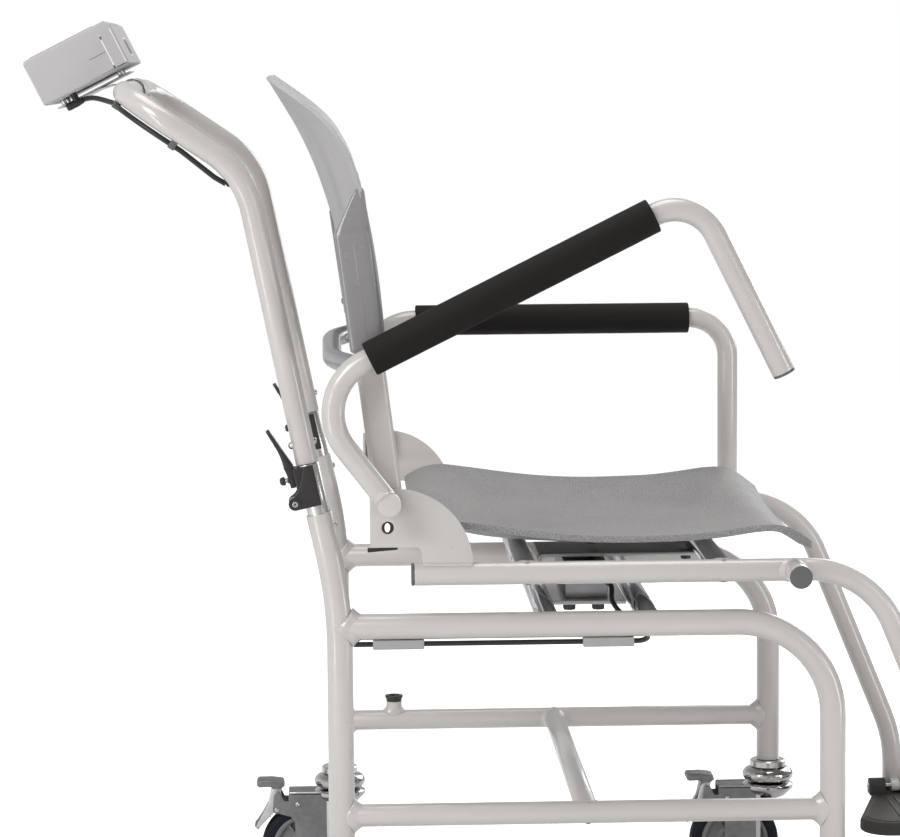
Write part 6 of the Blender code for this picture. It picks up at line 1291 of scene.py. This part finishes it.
def load_path():
    """From the seat down: channel, lip and bolts, cell with spacer and windows, plate and its bolts; then
    clips. The channel and the cell's windows are dark grey for painted shade."""
    body, top, rear_x = "chair_frame", RAIL_Z - SLIM - 0.0003, 0.206
    parts = [block((rear_x, -0.0505, top - 0.003), (0.386, 0.036, top), 0.0009, 0.0015)]
    parts += [block((x, -0.036, top - 0.010), (x + 0.003, 0.036, top - 0.0010), 0.0009, 0.0012)
              for x in (rear_x, 0.383)]
    # Painted shade: the channel is dark grey where shade falls on it under the seat
    piece("carriage_channel", parts, body, SHADE_GREY, "load_channel")
    lip_rear, lip_front, lip_y, lip_z = 0.2075, 0.3765, -0.0522, top - 0.0019
    lip = fillet_path([(lip_rear, lip_y, lip_z - 0.0085), (lip_rear, lip_y, lip_z), (lip_front, lip_y, lip_z),
                       (lip_front, lip_y, lip_z - 0.0055)], [0.0045, 0.0030])
    piece("channel_lip", [carried(lip, 0.0019, ACROSS, 16, 0.0005)], body, FRAME_PAINT)
    bolts = [hex_head((x, y, top - 0.003), -UP, 0.0100, 0.0060) for x in (0.2652, 0.3596)
             for y in (-0.038, 0.018)]
    piece("channel_bolts", bolts, body, CLAMP_BLACK)
    low = 0.3745
    plate = block((0.2165, -0.090, low), (0.2935, 0.090, low + 0.0040), 0.0009, 0.0020)
    piece("cell_plate", [plate], body, FRAME_PAINT, "load_cell_plate")
    bolts = [hex_head((0.2508 + hand * 0.0148, y, low), -UP, 0.0125, 0.0072) for hand in HANDS
             for y in (-0.074, 0.055)]
    piece("cell_plate_bolts", bolts, body, CLAMP_BLACK)
    rear, front, proud = 0.2315, 0.2755, 0.0003
    cell = block((rear, -0.075, low + 0.0043), (front, 0.075, top - 0.0072), 0.0008, 0.0012)
    spacer = block((rear, -0.031, top - 0.0074), (front, 0.020, top - 0.0031), 0.0006, 0.0010)
    windows = [block((rear - proud, hand * 0.004, low + 0.0120), (front + proud, hand * 0.030, low + 0.0240),
                     0.0008, 0.0040) for hand in HANDS]
    piece("load_cell_block", [cell], body, CELL_METAL, "load_cell")
    piece("load_cell_spacer", [spacer], body, CLIP_GREY)
    # Painted shade: the windows are dark patches on the cell's ends for the shade inside its holes
    piece("load_cell_windows", windows, body, SHADE_GREY)
    length, half = 0.050, 0.0063
    for label, start in zip(("rear", "front"), CLIP_STARTS):
        trough = block((start, -FRAME_Y - half, CORD_Z - 0.0047),
                       (start + length, -FRAME_Y + half, CORD_Z + 0.0046), 0.0013, 0.0016)
        piece("rail_clip_trough_" + label, [trough], body, CLIP_GREY, "rail_clip_" + label)


# Camera, floor and light

CAMERA_PLACE = (-0.0120 + POST_X, -3.4528, 0.9234)
CAMERA_YAW, CAMERA_PITCH, CAMERA_ROLL = 0.0376, 0.1055, -0.0075
CAMERA_LENS_MM = 133.6

# Each lamp: name, place, the place it faces, width, watts, height
LAMPS = (("key_light", (-2.3, -2.5, 2.4), (0.0, 0.0, 0.5), 1.5, 55, 1.6),
         ("fill_light", (2.6, -2.6, 1.5), (0.1, 0.0, 0.5), 1.2, 9, 1.6),
         ("top_light", (-0.2, 0.2, 3.2), (0.0, 0.0, 0.5), 2.0, 36, 1.6),
         ("rear_light", (1.7, 2.4, 1.6), (0.0, 0.0, 0.6), 2.0, 28, 1.8),
         ("left_strip", (-1.55, -1.45, 0.50), (0.0, 0.0, 0.50), 0.24, 5.5, 1.0),
         ("right_strip", (1.85, -0.85, 0.50), (0.0, 0.0, 0.50), 0.28, 6.5, 1.0))


def linked(name, data):
    """A new object in the scene."""
    obj = bpy.data.objects.new(name, data)
    bpy.context.scene.collection.objects.link(obj)
    return obj


def camera():
    """The photo's own camera."""
    data = bpy.data.cameras.new("camera")
    data.lens = CAMERA_LENS_MM
    data.sensor_width = 36.0
    data.sensor_fit = "HORIZONTAL"
    data.clip_end = 50.0
    yaw, pitch, roll = CAMERA_YAW, CAMERA_PITCH, CAMERA_ROLL
    forward = Vector((math.sin(yaw) * math.cos(pitch), math.cos(yaw) * math.cos(pitch), -math.sin(pitch)))
    right = Vector((math.cos(yaw), -math.sin(yaw), 0.0))
    up = right.cross(forward)
    turned_right = right * math.cos(roll) + up * math.sin(roll)
    turned_up = up * math.cos(roll) - right * math.sin(roll)
    matrix = Matrix((turned_right, turned_up, -forward)).transposed().to_4x4()
    matrix.translation = CAMERA_PLACE
    holder = linked("camera", data)
    holder.matrix_world = matrix
    bpy.context.scene.camera = holder


def lamps():
    """Large soft lamps and two narrow strips that draw bright lines on the tubes."""
    for name, place, target, width, watts, height in LAMPS:
        data = bpy.data.lights.new(name, "AREA")
        data.shape = "RECTANGLE"
        data.size = width
        data.size_y = height
        data.energy = watts
        lamp = linked(name, data)
        lamp.location = place
        lamp.rotation_euler = (Vector(target) - Vector(place)).to_track_quat("-Z", "Y").to_euler()


def backdrop():
    """White to the camera, grey to soft light, and a shaded dome in reflections."""
    world = bpy.data.worlds.new("studio")
    world.use_nodes = True
    tree = world.node_tree
    path = tree.nodes.new("ShaderNodeLightPath").outputs
    way = tree.nodes.new("ShaderNodeTexCoord")
    split = tree.nodes.new("ShaderNodeSeparateXYZ")
    feed(tree, split.inputs["Vector"], way.outputs["Generated"])
    leftward = remap(tree, split.outputs["X"], -0.9, 0.8, 1.0, 0.30)
    upward = remap(tree, split.outputs["Z"], 0.15, 0.75, 1.0, 0.42)
    mirrored = sum_up(tree, "MULTIPLY", leftward, upward)
    seen = sum_up(tree, "MAXIMUM", path["Is Camera Ray"], path["Is Transmission Ray"])
    soft = blend_colour(tree, path["Is Glossy Ray"], (0.44, 0.44, 0.45), mirrored)
    feed(tree, tree.nodes["Background"].inputs["Color"], blend_colour(tree, seen, soft, (1.0, 1.0, 1.0)))
    bpy.context.scene.world = world
    bpy.context.scene.view_settings.view_transform = "Standard"


def stage():
    """A white floor that lifts itself to white for the camera only."""
    reach = np.linspace(-6.0, 6.0, 13)
    x, y = np.meshgrid(reach, reach, indexing="ij")
    points, faces = surface(np.stack([x, y, 0 * x], axis=-1), wrap_columns=False)
    mesh = bpy.data.meshes.new("studio_floor")
    mesh.from_pydata(points.tolist(), [], faces)
    material = bpy.data.materials.new("floor_white")
    material.use_nodes = True
    tree = material.node_tree
    glow = sum_up(tree, "MULTIPLY", tree.nodes.new("ShaderNodeLightPath").outputs["Is Camera Ray"], 0.62)
    for label, value in (("Base Color", (0.90, 0.90, 0.90)), ("Roughness", 0.9), ("Specular IOR Level", 0.1),
                         ("Emission Color", (1.0, 1.0, 1.0)), ("Emission Strength", glow)):
        feed(tree, tree.nodes["Principled BSDF"].inputs[label], value)
    mesh.materials.append(material)
    floor = linked("studio_floor", mesh)


camera()
load_cell_cable()
handle_cable()
side_frames()
cross_tubes()
carriage_sides()
seat()
back()
back_posts_and_bow()
arms()
handle()
clamps()
indicator()
footplates()
castors()
load_path()
backdrop()
stage()
lamps()
